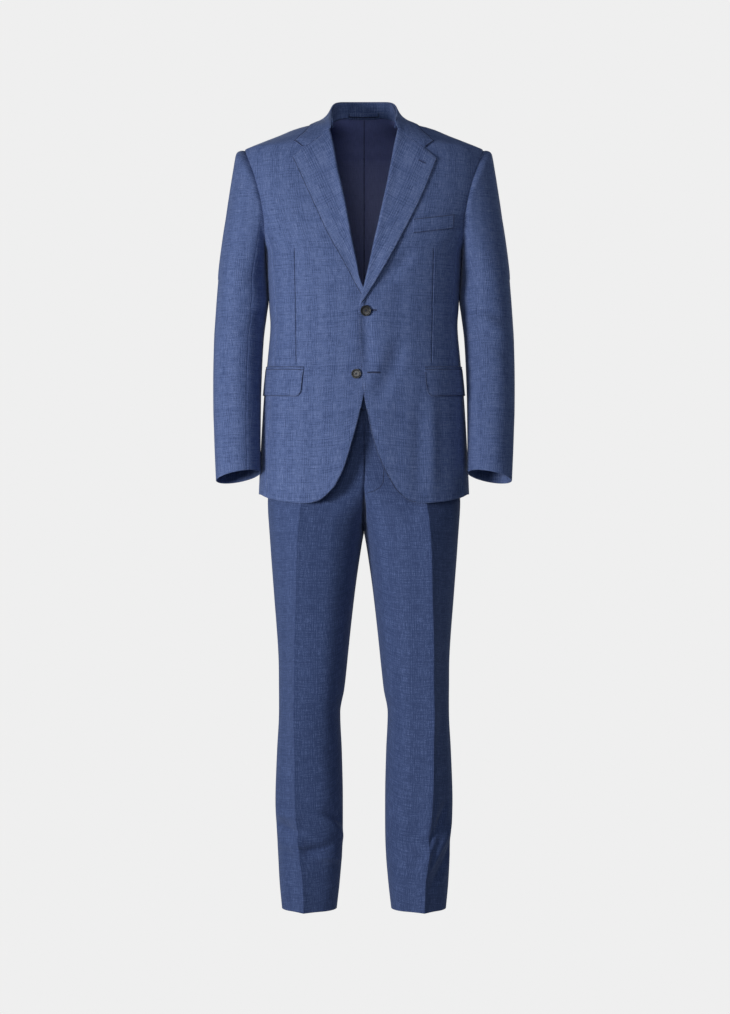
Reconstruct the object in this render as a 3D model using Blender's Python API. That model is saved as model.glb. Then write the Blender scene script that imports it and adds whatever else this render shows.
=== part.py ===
"""Two-piece suit on its own worn form: a two-button jacket over flat-front trousers.

Metres, +Z up. The front faces -Y and the wearer's left is +X. The origin is midway between the
shoulders at the base of the neck, where the wearer carries the jacket. Every cloth piece is a
thin closed wall. Sections are rounded rings, read between the rows of short tables.
"""
import bisect
import math

import bmesh
import bpy
from mathutils import Vector

# ---- cloth and seams ----
JACKET_CLOTH = 0.0017
TROUSER_CLOTH = 0.0014
LINING_CLOTH = 0.0010
COLLAR_CLOTH = 0.0022
WAISTBAND_CLOTH = 0.0026
LOOP_CLOTH = 0.0009
SEAM_INSET = 0.0002          # each side of a seam is drawn back by this much
FRONT_END_INSET = 0.0001     # the same, at a front's hem and shoulder
LINING_SIDE_INSET = 0.0006
LINING_END_INSET = 0.0015
LAID_ON = 0.0006             # clearance of a piece that lies on a panel
OVERLAP_LIFT = 0.0029        # how far the over front stands off the under front
OVERLAP_REACH = 0.030        # width of the overlap at the centre front

# ---- levels, from the base of the neck down ----
NECK_SIDE = 0.016
NECK_BACK = 0.033
SHOULDER_TIP = -0.0396
ROLL_TOP = -0.0143
UPPER_BUTTON = -0.3516
LOWER_BUTTON = -0.4682
CORNER_LEVEL = -0.676
WAIST = -0.360
WAISTBAND_TOP = -0.491
WAISTBAND_HEIGHT = 0.040
FORK_LEVEL = -0.763
TROUSER_HEM = -1.4675
LINING_HEM_RISE = 0.020

# ---- the armhole: an ellipse over angle and height on the body ----
ARMHOLE_HALF_HEIGHT = 0.0977
ARMHOLE_LEVEL = SHOULDER_TIP - ARMHOLE_HALF_HEIGHT
ARMHOLE_FRONT = 33.0         # degrees of the body ring
ARMHOLE_BACK = 31.0
SIDE_SEAM_FRONT = 66.0
SIDE_SEAM_BACK = 114.0

# ---- buttons ----
BUTTON_RADIUS = 0.0098
BUTTON_HEIGHT = 0.0036
BUTTON_RIM = 0.0022
BUTTON_DISH = 0.0010
BUTTON_SHANK = 0.0030
BUTTON_HOLE = 0.0009
BUTTON_HOLE_SPACING = 0.0018

# Jacket body: height, half width, depth in front, depth behind, roundness of the ring.
BODY_ROWS = (
    (0.036, 0.0630, 0.048, 0.0815, 2.10),
    (0.028, 0.0660, 0.052, 0.0850, 2.10),
    (0.022, 0.0690, 0.056, 0.0875, 2.10),
    (0.016, 0.0760, 0.061, 0.0900, 2.12),
    (0.0070, 0.0980, 0.070, 0.0945, 2.15),
    (-0.0030, 0.1345, 0.080, 0.1000, 2.20),
    (-0.0143, 0.1615, 0.088, 0.1060, 2.20),
    (-0.0255, 0.1900, 0.094, 0.1100, 2.25),
    (-0.0355, 0.2148, 0.099, 0.1140, 2.30),
    (-0.0396, 0.2243, 0.101, 0.1160, 2.30),
    (-0.0566, 0.2295, 0.107, 0.1200, 2.35),
    (-0.0800, 0.2310, 0.113, 0.1240, 2.40),
    (-0.1157, 0.2285, 0.121, 0.1280, 2.40),
    (-0.1500, 0.2205, 0.127, 0.1300, 2.40),
    (-0.1800, 0.2105, 0.131, 0.1300, 2.40),
    (-0.2000, 0.2025, 0.132, 0.1290, 2.40),
    (-0.2200, 0.1930, 0.133, 0.1270, 2.40),
    (-0.2350, 0.1860, 0.133, 0.1250, 2.40),
    (-0.2810, 0.1820, 0.132, 0.1200, 2.35),
    (-0.3400, 0.1784, 0.126, 0.1130, 2.30),
    (-0.3680, 0.1765, 0.124, 0.1110, 2.30),
    (-0.4300, 0.1812, 0.127, 0.1170, 2.30),
    (-0.4980, 0.1880, 0.131, 0.1260, 2.30),
    (-0.5660, 0.1925, 0.134, 0.1370, 2.30),
    (-0.6420, 0.1965, 0.136, 0.1430, 2.30),
    (-0.7060, 0.1990, 0.137, 0.1460, 2.30),
)

# Inner edge of the fronts: height, over front, under front, measured from the centre front.
FRONT_EDGE_ROWS = (
    (0.016, 0.0660, 0.0660),
    (-0.0143, 0.0610, 0.0614),
    (-0.050, 0.0541, 0.0545),
    (-0.085, 0.0477, 0.0487),
    (-0.120, 0.0409, 0.0408),
    (-0.155, 0.0334, 0.0332),
    (-0.195, 0.0248, 0.0255),
    (-0.232, 0.0163, 0.0181),
    (-0.268, 0.0086, 0.0100),
    (-0.3065, -0.0010, 0.0020),
    (-0.3350, -0.0078, -0.0130),
    (-0.3525, -0.0095, -0.0187),
    (-0.4100, -0.0081, -0.0125),
    (-0.4600, -0.0045, -0.0055),
    (-0.5080, 0.0010, 0.0014),
    (-0.5450, 0.0082, 0.0094),
    (-0.5970, 0.0199, 0.0235),
    (-0.6430, 0.0385, 0.0380),
    (-0.6760, 0.0575, 0.0548),
)

# Jacket hem: angle round the body, height. The first row is the rounded front corner.
HEM_ROWS = (
    (13.5, -0.6760),
    (17.5, -0.6905),
    (22.0, -0.7005),
    (30.0, -0.7042),
    (42.0, -0.7020),
    (62.0, -0.6950),
    (81.0, -0.6875),
    (110.0, -0.6880),
    (180.0, -0.6920),
)

# Lapel edge: share of the way down, half width position and height, over then under.
LAPEL_ROWS = (
    (0.00, 0.1338, -0.0684, 0.1314, -0.0664),
    (0.15, 0.1215, -0.1010, 0.1195, -0.0920),
    (0.35, 0.0990, -0.1540, 0.0960, -0.1450),
    (0.55, 0.0730, -0.2050, 0.0670, -0.2080),
    (0.75, 0.0425, -0.2610, 0.0350, -0.2660),
    (0.90, 0.0150, -0.3075, 0.0140, -0.3040),
    (1.00, -0.0068, -0.3420, 0.0070, -0.3160),
)
LAPEL_FOOT = (-0.332, -0.303)        # where each roll line ends: over, under

# Collar, by share of the way from the centre back to the front: the fold line, then the outer
# edge of the leaf as a place on the body (angle, height).
COLLAR_ROWS = (
    (0.00, 0.0000, 0.0850, 0.0650, 180.0, 0.0230),
    (0.16, 0.0250, 0.0815, 0.0650, 163.0, 0.0215),
    (0.30, 0.0455, 0.0700, 0.0640, 143.0, 0.0170),
    (0.43, 0.0555, 0.0480, 0.0570, 118.0, 0.0135),
    (0.56, 0.0590, 0.0220, 0.0465, 94.0, 0.0140),
    (0.69, 0.0612, -0.0070, 0.0335, 72.0, 0.0080),
    (0.80, 0.0620, -0.0330, 0.0215, 47.0, -0.0030),
    (0.91, 0.0618, -0.0680, 0.0085, 38.3, -0.0185),
    (1.00, 0.0612, -0.0930, -0.0143, 34.1, -0.0347),
)
GORGE_CORNER = (0.1094, -0.0498)     # half width position and height of the notch's inner corner
GORGE_SHARE = 0.70                   # how far across the leaf the notch begins

LAPEL_LIFT = 0.0036
LAPEL_ROLL = 0.0028
LAPEL_ROLL_WIDTH = 0.010
LEAF_LIFT = 0.0040
LEAF_CLEARANCE = 0.0056
LEAF_BELLY = 0.0030
LEAF_STAND_OFF = 0.0036
LEAF_GAP = 0.0007
STAND_REACH = 0.93                   # the stand stops short of the roll line
STAND_TUCK = 0.974                   # the stand's top lies inside the fold
STAND_INWARD = 0.0033                # how far inside the jacket's face the stand is sewn on
NECK_TURN = (0.62, 0.74)             # collar shares between which the seam turns to the front
NECK_TURN_ANGLE = 96.0               # where on the neck ring that turn begins

# Pockets: corners as angle round the body and height, top inner, top outer, low inner, low outer.
FLAP_CORNERS = ((33.9, -0.4600), (88.0, -0.4545), (34.8, -0.5085), (88.0, -0.5020))
JET_CORNERS = ((33.9, -0.4538), (88.0, -0.4483), (33.9, -0.4592), (88.0, -0.4537))
WELT_CORNERS = ((21.5, -0.1838), (47.5, -0.1715), (23.0, -0.2090), (50.3, -0.1965))
FLAP_CORNER_RADIUS = 0.012
FLAP_CLOTH = 0.0015
JET_CLOTH = 0.0010
FLAP_LIFT = 0.0023
JET_LIFT = 0.0017
WELT_LIFT = 0.0022

# Sleeve below the underarm: height, inner x, outer x, front y, back y, fall to the back,
# fall to the outside (slopes of the ring's plane).
SLEEVE_ROWS = (
    (-0.285, 0.1835, 0.2752, -0.0730, 0.0800, 0.00, 0.00),
    (-0.340, 0.1850, 0.2795, -0.0650, 0.0690, 0.02, 0.02),
    (-0.400, 0.1890, 0.2828, -0.0660, 0.0570, 0.06, 0.05),
    (-0.460, 0.1918, 0.2836, -0.0710, 0.0440, 0.10, 0.08),
    (-0.520, 0.1932, 0.2828, -0.0790, 0.0300, 0.14, 0.12),
    (-0.590, 0.1934, 0.2798, -0.0890, 0.0140, 0.18, 0.16),
    (-0.655, 0.1930, 0.2762, -0.0980, -0.0030, 0.204, 0.19),
)
SLEEVE_CAP_SHARES = (0.0, 0.04, 0.12, 0.25, 0.43, 0.64, 0.84)
SLEEVE_LEVELS = (-0.285, -0.325, -0.362, -0.400, -0.460, -0.525, -0.590, -0.655)
UNDER_SLEEVE_COLUMNS = (7, 13)       # of the armhole's points, from its top forward
CAP_FULLNESS = 0.0118
CAP_FULLNESS_ROUND = 0.0040
CAP_TURN = 0.025                     # how soon the cap turns down from the shoulder

# Trouser legs: height, centre from the middle, half width, depth in front, depth behind,
# roundness, front crease angle, back crease angle.
LEG_ROWS = (
    (-0.5310, 0.0000, 0.1600, 0.112, 0.116, 2.30, 27.0, 152.0),
    (-0.5800, 0.0100, 0.1600, 0.115, 0.120, 2.30, 26.0, 156.0),
    (-0.6300, 0.0340, 0.1430, 0.117, 0.124, 2.30, 24.0, 162.0),
    (-0.6700, 0.0580, 0.1210, 0.116, 0.125, 2.30, 21.0, 169.0),
    (-0.7045, 0.0775, 0.1042, 0.113, 0.125, 2.30, 18.0, 176.0),
    (-0.7400, 0.0872, 0.0925, 0.108, 0.121, 2.25, 16.5, 183.0),
    (-0.7630, 0.0892, 0.0888, 0.105, 0.118, 2.20, 17.5, 188.0),
    (-0.8120, 0.0916, 0.0830, 0.100, 0.112, 2.15, 19.0, 194.0),
    (-0.8725, 0.0935, 0.0765, 0.094, 0.105, 2.10, 20.5, 199.0),
    (-0.9930, 0.0958, 0.0656, 0.084, 0.087, 2.05, 24.5, 204.0),
    (-1.0540, 0.0987, 0.0619, 0.079, 0.080, 2.05, 23.5, 203.0),
    (-1.0990, 0.1025, 0.0580, 0.076, 0.077, 2.05, 22.5, 202.0),
    (-1.1746, 0.1029, 0.0614, 0.073, 0.079, 2.05, 20.5, 200.0),
    (-1.2650, 0.1034, 0.0638, 0.069, 0.082, 2.05, 18.5, 198.0),
    (-1.3560, 0.1015, 0.0609, 0.063, 0.081, 2.05, 15.0, 195.0),
    (-1.4160, 0.1024, 0.0571, 0.057, 0.077, 2.05, 9.5, 190.0),
    (-1.4675, 0.1029, 0.0519, 0.052, 0.073, 2.05, 8.5, 188.0),
)
CREASE_RISE = 0.0032
CREASE_SPREAD = 11.0                 # degrees

# Folds: angle, height, degrees from level, half length, half width, depth (ridge above 0).
BREAK_FOLDS_LEFT = (
    (27.0, -1.318, 62.0, 0.055, 0.0085, -0.0065),
    (38.0, -1.352, 52.0, 0.060, 0.0100, 0.0060),
    (52.0, -1.383, 48.0, 0.050, 0.0100, -0.0050),
    (-25.0, -1.330, 40.0, 0.050, 0.0160, -0.0035),
    (160.0, -1.345, -20.0, 0.060, 0.0150, 0.0045),
    (205.0, -1.375, 12.0, 0.055, 0.0140, -0.0045),
)
BREAK_FOLDS_RIGHT = (
    (40.0, -1.300, 8.0, 0.045, 0.0120, 0.0035),
    (42.0, -1.326, 10.0, 0.045, 0.0110, -0.0040),
    (-35.0, -1.352, 14.0, 0.045, 0.0120, -0.0045),
    (-45.0, -1.378, 20.0, 0.045, 0.0130, 0.0040),
    (155.0, -1.335, 18.0, 0.060, 0.0150, 0.0045),
    (200.0, -1.368, -12.0, 0.055, 0.0140, -0.0045),
)
SLEEVE_FOLDS = (
    (95.0, -0.345, 24.0, 0.040, 0.0120, -0.0035),
    (80.0, -0.378, 20.0, 0.045, 0.0130, 0.0030),
    (270.0, -0.350, -18.0, 0.045, 0.0140, 0.0035),
)
SKIRT_FOLDS = (
    (28.0, -0.610, 88.0, 0.090, 0.0140, -0.0030),
    (37.0, -0.600, 87.0, 0.090, 0.0150, 0.0028),
    (-24.0, -0.620, 92.0, 0.080, 0.0200, -0.0016),
    (150.0, -0.560, 90.0, 0.100, 0.0220, 0.0028),
)

# Radii that turn degrees into metres on the body's front, a sleeve and a leg.
BODY_RADIUS = 0.165
SLEEVE_RADIUS = 0.055
LEG_RADIUS = 0.062

# The loop inside the neck: half its length as a share of the collar, where it starts on the stand,
# its height as a share of the stand, and how far it stands off at its ends and more at its middle.
LOOP_REACH = 0.20
LOOP_START = 0.06
LOOP_HEIGHT = 0.26
LOOP_STAND_OFF = 0.0042
LOOP_BOW = 0.0014

# Colours as they look in daylight: linear red, green, blue.
SUIT_BLUE = (0.085, 0.135, 0.300)
LINING_NAVY = (0.016, 0.022, 0.070)
HORN = (0.030, 0.028, 0.030)


def clear_scene():
    for item in list(bpy.data.objects):
        bpy.data.objects.remove(item, do_unlink=True)


def table(rows):
    """A smooth reading of a table that passes each row and never overshoots."""
    ordered = sorted(rows)
    keys = [row[0] for row in ordered]
    columns = list(zip(*ordered))[1:]

    def slopes(values):
        steps = [(values[i + 1] - values[i]) / (keys[i + 1] - keys[i]) for i in range(len(keys) - 1)]
        result = [steps[0]]
        for before, after in zip(steps, steps[1:]):
            result.append(0.0 if before * after <= 0 else 2 * before * after / (before + after))
        return result + [steps[-1]]

    column_slopes = [slopes(values) for values in columns]

    def at(key):
        key = min(max(key, keys[0]), keys[-1])
        i = min(bisect.bisect_right(keys, key), len(keys) - 1) - 1
        width = keys[i + 1] - keys[i]
        t = (key - keys[i]) / width
        start, end = 1 - 3 * t * t + 2 * t ** 3, 3 * t * t - 2 * t ** 3
        leave, arrive = t * (1 - t) ** 2 * width, t * t * (t - 1) * width
        return [start * v[i] + end * v[i + 1] + leave * s[i] + arrive * s[i + 1]
                for v, s in zip(columns, column_slopes)]

    return at


body_section = table(BODY_ROWS)
front_edge = table(FRONT_EDGE_ROWS)
hem_level = table(HEM_ROWS)
lapel_edge = table(LAPEL_ROWS)
collar_line = table(COLLAR_ROWS)
sleeve_section = table(SLEEVE_ROWS)
leg_section = table(LEG_ROWS)


def mix(a, b, share):
    return a + (b - a) * share


def smooth_step(value, low, high):
    share = min(max((value - low) / (high - low), 0.0), 1.0)
    return share * share * (3 - 2 * share)


def ring(angle, half_width, front, back, roundness):
    """x and y on a rounded section: 0 degrees is the front, 90 is +X, 180 the back."""
    sine, cosine = math.sin(math.radians(angle)), math.cos(math.radians(angle))
    power = 2 / roundness
    depth = front if cosine > 0 else back
    x = half_width * math.copysign(abs(sine) ** power, sine)
    return x, -depth * math.copysign(abs(cosine) ** power, cosine)


def fold_height(folds, angle, height, radius):
    """Sum of the soft ridges and troughs at a place on a tube of that radius."""
    total = 0.0
    for fold_angle, level, slant, half_length, half_width, depth in folds:
        turn = (angle - fold_angle + 180) % 360 - 180
        around = math.radians(turn) * radius
        rise = height - level
        along = around * math.cos(math.radians(slant)) + rise * math.sin(math.radians(slant))
        across = rise * math.cos(math.radians(slant)) - around * math.sin(math.radians(slant))
        reach = math.exp(-(along / half_length) ** 4)
        total += depth * reach * math.exp(-(across / half_width) ** 2)
    return total


def surface_normal(surface, u, v, step_u=0.4, step_v=0.0012):
    along_u = surface(u + step_u, v) - surface(u - step_u, v)
    along_v = surface(u, v + step_v) - surface(u, v - step_v)
    return along_u.cross(along_v).normalized()


# ---- the jacket's body ----
def plain_body(angle, height):
    x, y = ring(angle, *body_section(height))
    return Vector((x, y, height))


def body_normal(angle, height):
    return surface_normal(plain_body, angle, height)


def body_point(angle, height, lift=0.0):
    rise = lift + fold_height(SKIRT_FOLDS, angle, height, BODY_RADIUS)
    return plain_body(angle, height) + body_normal(angle, height) * rise


def body_angle(x, height):
    """Angle on the body ring of a place seen from the front at x."""
    half_width, _, _, roundness = body_section(height)
    share = min(abs(x) / half_width, 1.0)
    return math.copysign(math.degrees(math.asin(share ** (roundness / 2))), x)


def front_x(side, height):
    """Inner edge of a front, from the centre front toward its own side."""
    return front_edge(height)[0 if side > 0 else 1]


def edge_angle(side, height):
    return body_angle(front_x(side, height), height)


def overlap_lift(side, angle, height):
    """The over front stands off the under front where they cross."""
    if side < 0 or height > -0.28:
        return 0.0
    x = plain_body(angle, height).x
    fade = smooth_step(height, -0.28, -0.31) if height > -0.31 else 1.0
    return OVERLAP_LIFT * fade * (1 - smooth_step(x, OVERLAP_REACH, 2.2 * OVERLAP_REACH))


def armhole(turn):
    """Angle and height on the body; the turn runs 0 at the top, 90 front, 180 underarm."""
    sine, cosine = math.sin(math.radians(turn)), math.cos(math.radians(turn))
    reach = ARMHOLE_FRONT if sine > 0 else ARMHOLE_BACK
    return 90 - reach * sine, ARMHOLE_LEVEL + ARMHOLE_HALF_HEIGHT * cosine


FRONT_JOIN = 180 - math.degrees(math.asin((90 - SIDE_SEAM_FRONT) / ARMHOLE_FRONT))
BACK_JOIN = 180 + math.degrees(math.asin((SIDE_SEAM_BACK - 90) / ARMHOLE_BACK))
PANEL_ROWS = 15              # rows from the hem to where the side seams meet the armhole
SHOULDER_SHARES = (0.2, 0.4, 0.6, 0.75, 0.88, 1.0)
FRONT_TURNS = [FRONT_JOIN * i / 8 for i in range(9)]
UNDER_TURNS = [mix(FRONT_JOIN, BACK_JOIN, i / 4) for i in range(5)]
BACK_TURNS = [mix(BACK_JOIN, 360, i / 8) for i in range(9)]
ARMHOLE_TURNS = FRONT_TURNS + UNDER_TURNS[1:] + BACK_TURNS[1:-1]


# ---- the sleeve ----
def sleeve_ring(turn, level):
    """A point of the sleeve's own ring; the turn runs 0 outside, 90 front, 180 inside."""
    inner, outer, front, back, fall_back, fall_out = sleeve_section(level)
    x = (inner + outer) / 2 + (outer - inner) / 2 * math.cos(math.radians(turn))
    y = (front + back) / 2 + (front - back) / 2 * math.sin(math.radians(turn))
    height = level - fall_back * (y - (front + back) / 2) - fall_out * (x - (inner + outer) / 2)
    return Vector((x, y, height))


def sleeve_cap(turn, share):
    """The sleeve from the armhole seam (0) down to its first whole ring (1)."""
    seam = plain_body(*armhole(turn))
    whole = sleeve_ring(turn, SLEEVE_LEVELS[0])
    sine, cosine = math.sin(math.radians(turn)), math.cos(math.radians(turn))
    out = Vector((1.0, -0.6 * sine, 0.2 * max(cosine, 0.0))).normalized()
    fullness = CAP_FULLNESS_ROUND + CAP_FULLNESS * max(cosine, 0.0) ** 1.5
    swell = (1 - math.exp(-share / CAP_TURN)) * (1 - share) ** 0.6
    return seam.lerp(whole, share) + out * fullness * swell


def sleeve_rows():
    """Rings of points from the armhole to the cuff, all the way round, left arm."""
    rows = [[sleeve_cap(turn, share) for turn in ARMHOLE_TURNS] for share in SLEEVE_CAP_SHARES]
    for level in SLEEVE_LEVELS:
        rows.append([sleeve_ring(turn, level) for turn in ARMHOLE_TURNS])
    normals = grid_normals(rows, closed=True)
    folded = []
    for row, row_normals in zip(rows, normals):
        folded.append([point + normal * fold_height(SLEEVE_FOLDS, turn, point.z, SLEEVE_RADIUS)
                       for point, normal, turn in zip(row, row_normals, ARMHOLE_TURNS)])
    return folded, normals


def seam_direction(turn, sleeve_normal, of_sleeve=False):
    """Wall direction at the armhole: shared by body and sleeve where they bend outward."""
    own = body_normal(*armhole(turn))
    if own.dot(sleeve_normal) > 0.2:
        return (own + sleeve_normal).normalized()
    return sleeve_normal if of_sleeve else own


# ---- the trousers ----
def plain_leg(angle, height):
    centre, half_width, front, back, roundness, _, _ = leg_section(height)
    x, y = ring(angle, half_width, front, back, roundness)
    return Vector((centre + x, y, height))


def leg_normal(angle, height):
    return surface_normal(plain_leg, angle, height)


def leg_point(side, angle, height):
    """A point of the leg on the +X side, with its creases and its own folds."""
    _, _, _, _, _, front_crease, back_crease = leg_section(height)
    rise = CREASE_RISE * math.exp(-abs(angle - front_crease) / CREASE_SPREAD)
    pressed_back = smooth_step(-height, 0.66, 0.80)
    rise += pressed_back * CREASE_RISE * math.exp(-abs(angle - back_crease) / CREASE_SPREAD)
    folds = BREAK_FOLDS_LEFT if side > 0 else BREAK_FOLDS_RIGHT
    rise += fold_height(folds, angle, height, LEG_RADIUS)
    return plain_leg(angle, height) + leg_normal(angle, height) * rise


def fork_angle(height):
    """How far past the front the leg's ring reaches the middle plane."""
    centre, half_width, _, _, roundness, _, _ = leg_section(height)
    if height <= FORK_LEVEL:
        return 90.0
    share = min(centre / half_width, 1.0)
    return math.degrees(math.asin(share ** (roundness / 2)))


# ---- turning grids of points into closed walls ----
def grid_normals(rows, closed=False):
    """Outward normals of a grid, from its neighbouring points."""
    last = len(rows) - 1
    normals = []
    for i, row in enumerate(rows):
        count = len(row)
        line = []
        for j in range(count):
            down = rows[min(i + 1, last)][j] - rows[max(i - 1, 0)][j]
            after = row[(j + 1) % count] if closed else row[min(j + 1, count - 1)]
            before = row[j - 1] if closed or j > 0 else row[0]
            line.append((after - before).cross(down).normalized())
        normals.append(line)
    return normals


def mirrored(rows):
    return [[Vector((-v.x, v.y, v.z)) for v in row] for row in rows]


def draw_back(rows, ends=True, sides=True, amount=SEAM_INSET):
    """Move the border of a grid inward along its own lines, to leave the seam's gap."""
    rows = [list(row) for row in rows]
    if sides:
        for row in rows:
            for edge, inside in ((0, 1), (-1, -2)):
                step = row[inside] - row[edge]
                row[edge] = row[edge] + step.normalized() * amount
    if ends:
        for j in range(len(rows[0])):
            for edge, inside in ((0, 1), (-1, -2)):
                step = rows[inside][j] - rows[edge][j]
                rows[edge][j] = rows[edge][j] + step.normalized() * amount
    return rows


def material(name, colour, roughness):
    made = bpy.data.materials.get(name) or bpy.data.materials.new(name)
    made.use_nodes = True
    shader = made.node_tree.nodes["Principled BSDF"]
    shader.inputs["Base Color"].default_value = (*colour, 1.0)
    shader.inputs["Roughness"].default_value = roughness
    shader.inputs["Metallic"].default_value = 0.0
    return made


def add_object(name, bm, look):
    bmesh.ops.recalc_face_normals(bm, faces=bm.faces)
    mesh = bpy.data.meshes.new(name)
    bm.to_mesh(mesh)
    bm.free()
    mesh.shade_smooth()
    mesh.set_sharp_from_angle(angle=math.radians(40))
    piece = bpy.data.objects.new(name, mesh)
    bpy.context.scene.collection.objects.link(piece)
    piece.data.materials.append(material(name + "_cloth", *look))
    return piece


def wall(name, rows, normals, thickness, look):
    """A closed solid between a grid and the same grid moved inward by the thickness."""
    bm = bmesh.new()
    outer = [[bm.verts.new(point) for point in row] for row in rows]
    inner = [[bm.verts.new(point - normal * thickness) for point, normal in zip(row, line)]
             for row, line in zip(rows, normals)]
    last_row, last = len(rows) - 1, len(rows[0]) - 1
    for i in range(last_row):
        for j in range(last):
            bm.faces.new((outer[i][j], outer[i][j + 1], outer[i + 1][j + 1], outer[i + 1][j]))
            bm.faces.new((inner[i][j], inner[i + 1][j], inner[i + 1][j + 1], inner[i][j + 1]))
    for i in (0, last_row):
        for j in range(last):
            bm.faces.new((outer[i][j], inner[i][j], inner[i][j + 1], outer[i][j + 1]))
    for j in (0, last):
        for i in range(last_row):
            bm.faces.new((outer[i][j], outer[i + 1][j], inner[i + 1][j], inner[i][j]))
    return add_object(name, bm, look)


def both_sides(name, rows, normals, thickness, look):
    wall(name + "_left", rows, normals, thickness, look)
    wall(name + "_right", mirrored(rows), mirrored(normals), thickness, look)


FORWARD = Vector((0.0, -1.0, 0.0))
BACKWARD = Vector((0.0, 1.0, 0.0))
SUIT = (SUIT_BLUE, 0.85)
SATIN = (LINING_NAVY, 0.35)
DARK_HORN = (HORN, 0.22)


# ---- jacket panels ----
def front_lines(side, columns=9):
    """Angle and height of every point of a front, hem to shoulder."""
    lines = []
    corner = edge_angle(side, CORNER_LEVEL)
    join = armhole(FRONT_JOIN)[1]
    for i in range(PANEL_ROWS):
        share = i / PANEL_ROWS
        first = edge_angle(side, mix(CORNER_LEVEL, join, share))
        line = []
        for j in range(columns):
            across = (j / (columns - 1)) ** mix(1.5, 1.0, share)
            hem = hem_level(mix(corner, SIDE_SEAM_FRONT, across))[0] if j else CORNER_LEVEL
            line.append((mix(first, SIDE_SEAM_FRONT, across), mix(hem, join, share)))
        lines.append(line)
    levels = [armhole(turn)[::-1] for turn in reversed(FRONT_TURNS)]
    levels += [(mix(SHOULDER_TIP, NECK_SIDE, share), 90.0) for share in SHOULDER_SHARES]
    for height, last in levels:
        first = edge_angle(side, height)
        lines.append([(mix(first, last, j / (columns - 1)), height) for j in range(columns)])
    return lines


def body_grid(lines, lift=0.0, side=0, seam_normals=None):
    """Points and wall directions of a body panel on the +X side."""
    rows, normals = [], []
    for line in lines:
        row = []
        for angle, height in line:
            extra = overlap_lift(side, angle, height) if side else 0.0
            row.append(body_point(angle * (side or 1), height, lift + extra))
        rows.append([Vector((v.x * (side or 1), v.y, v.z)) for v in row])
        normals.append([body_normal(angle, height) for angle, height in line])
    for (i, j), normal in (seam_normals or {}).items():
        normals[i][j] = normal
    return rows, normals


def armhole_directions():
    rows, normals = sleeve_rows()
    return {round(turn, 3): seam_direction(turn, normal)
            for turn, normal in zip(ARMHOLE_TURNS, normals[0])}


def build_fronts(directions):
    seam = {}
    for i, turn in enumerate(reversed(FRONT_TURNS)):
        seam[(PANEL_ROWS + i, -1)] = directions[round(turn % 360, 3)]
    for side, name in ((1, "front_left"), (-1, "front_right")):
        rows, normals = body_grid(front_lines(side), side=side, seam_normals=seam)
        rows = draw_back(rows, ends=False)
        rows = draw_back(rows, sides=False, amount=FRONT_END_INSET)
        if side < 0:
            rows, normals = mirrored(rows), mirrored(normals)
        wall(name, rows, normals, JACKET_CLOTH, SUIT)


def build_sides(directions):
    lines = []
    for i in range(PANEL_ROWS + 1):
        share = i / PANEL_ROWS
        line = []
        for turn in UNDER_TURNS:
            top_angle, top = armhole(turn)
            across = (turn - FRONT_JOIN) / (BACK_JOIN - FRONT_JOIN)
            low_angle = mix(SIDE_SEAM_FRONT, SIDE_SEAM_BACK, across)
            angle = mix(low_angle, top_angle, smooth_step(share, 0.6, 1.0))
            line.append((angle, mix(hem_level(low_angle)[0], top, share)))
        lines.append(line)
    seam = {(PANEL_ROWS, j): directions[round(turn, 3)] for j, turn in enumerate(UNDER_TURNS)}
    rows, normals = body_grid(lines, seam_normals=seam)
    both_sides("side", draw_back(rows), normals, JACKET_CLOTH, SUIT)


def back_lines(columns=7, hem_rise=0.0):
    join = armhole(BACK_JOIN)[1]
    lines = []
    for i in range(PANEL_ROWS):
        line = []
        for j in range(columns):
            angle = mix(SIDE_SEAM_BACK, 180.0, j / (columns - 1))
            line.append((angle, mix(hem_level(angle)[0] + hem_rise, join, i / PANEL_ROWS)))
        lines.append(line)
    for turn in BACK_TURNS:
        angle, height = armhole(turn)
        lines.append([(mix(angle, 180.0, j / (columns - 1)), height) for j in range(columns)])
    for share in SHOULDER_SHARES:
        line = []
        for j in range(columns):
            angle = mix(90.0, 180.0, j / (columns - 1))
            top = mix(NECK_SIDE, NECK_BACK, smooth_step(angle, 90, 150))
            line.append((angle, mix(SHOULDER_TIP, top, share)))
        lines.append(line)
    return lines


def build_backs(directions):
    seam = {(PANEL_ROWS + i, 0): directions[round(turn % 360, 3)]
            for i, turn in enumerate(BACK_TURNS)}
    rows, normals = body_grid(back_lines(), seam_normals=seam)
    both_sides("back", draw_back(rows), normals, JACKET_CLOTH, SUIT)
    lines = back_lines(hem_rise=LINING_HEM_RISE)
    lines = [line for i, line in enumerate(lines)
             if i % 2 == 0 or abs(line[-1][1] - WAIST) < 0.115 or line[-1][1] > SHOULDER_TIP]
    rows, normals = body_grid(lines, lift=-(JACKET_CLOTH + LAID_ON))
    rows = draw_back(rows, ends=False, amount=LINING_SIDE_INSET)
    rows = draw_back(rows, sides=False, amount=LINING_END_INSET)
    both_sides("lining", rows, normals, LINING_CLOTH, SATIN)


def build_sleeves():
    rows, normals = sleeve_rows()
    count = len(ARMHOLE_TURNS)
    for j, turn in enumerate(ARMHOLE_TURNS):
        normals[0][j] = seam_direction(turn, normals[0][j], of_sleeve=True)
    first, last = UNDER_SLEEVE_COLUMNS
    under = list(range(first, last + 1))
    top = [j % count for j in range(last, count + first + 1)]
    for name, columns in (("under_sleeve", under), ("top_sleeve", top)):
        part_rows = draw_back([[row[j] for j in columns] for row in rows])
        part_normals = [[row[j] for j in columns] for row in normals]
        both_sides(name, part_rows, part_normals, JACKET_CLOTH, SUIT)


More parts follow.
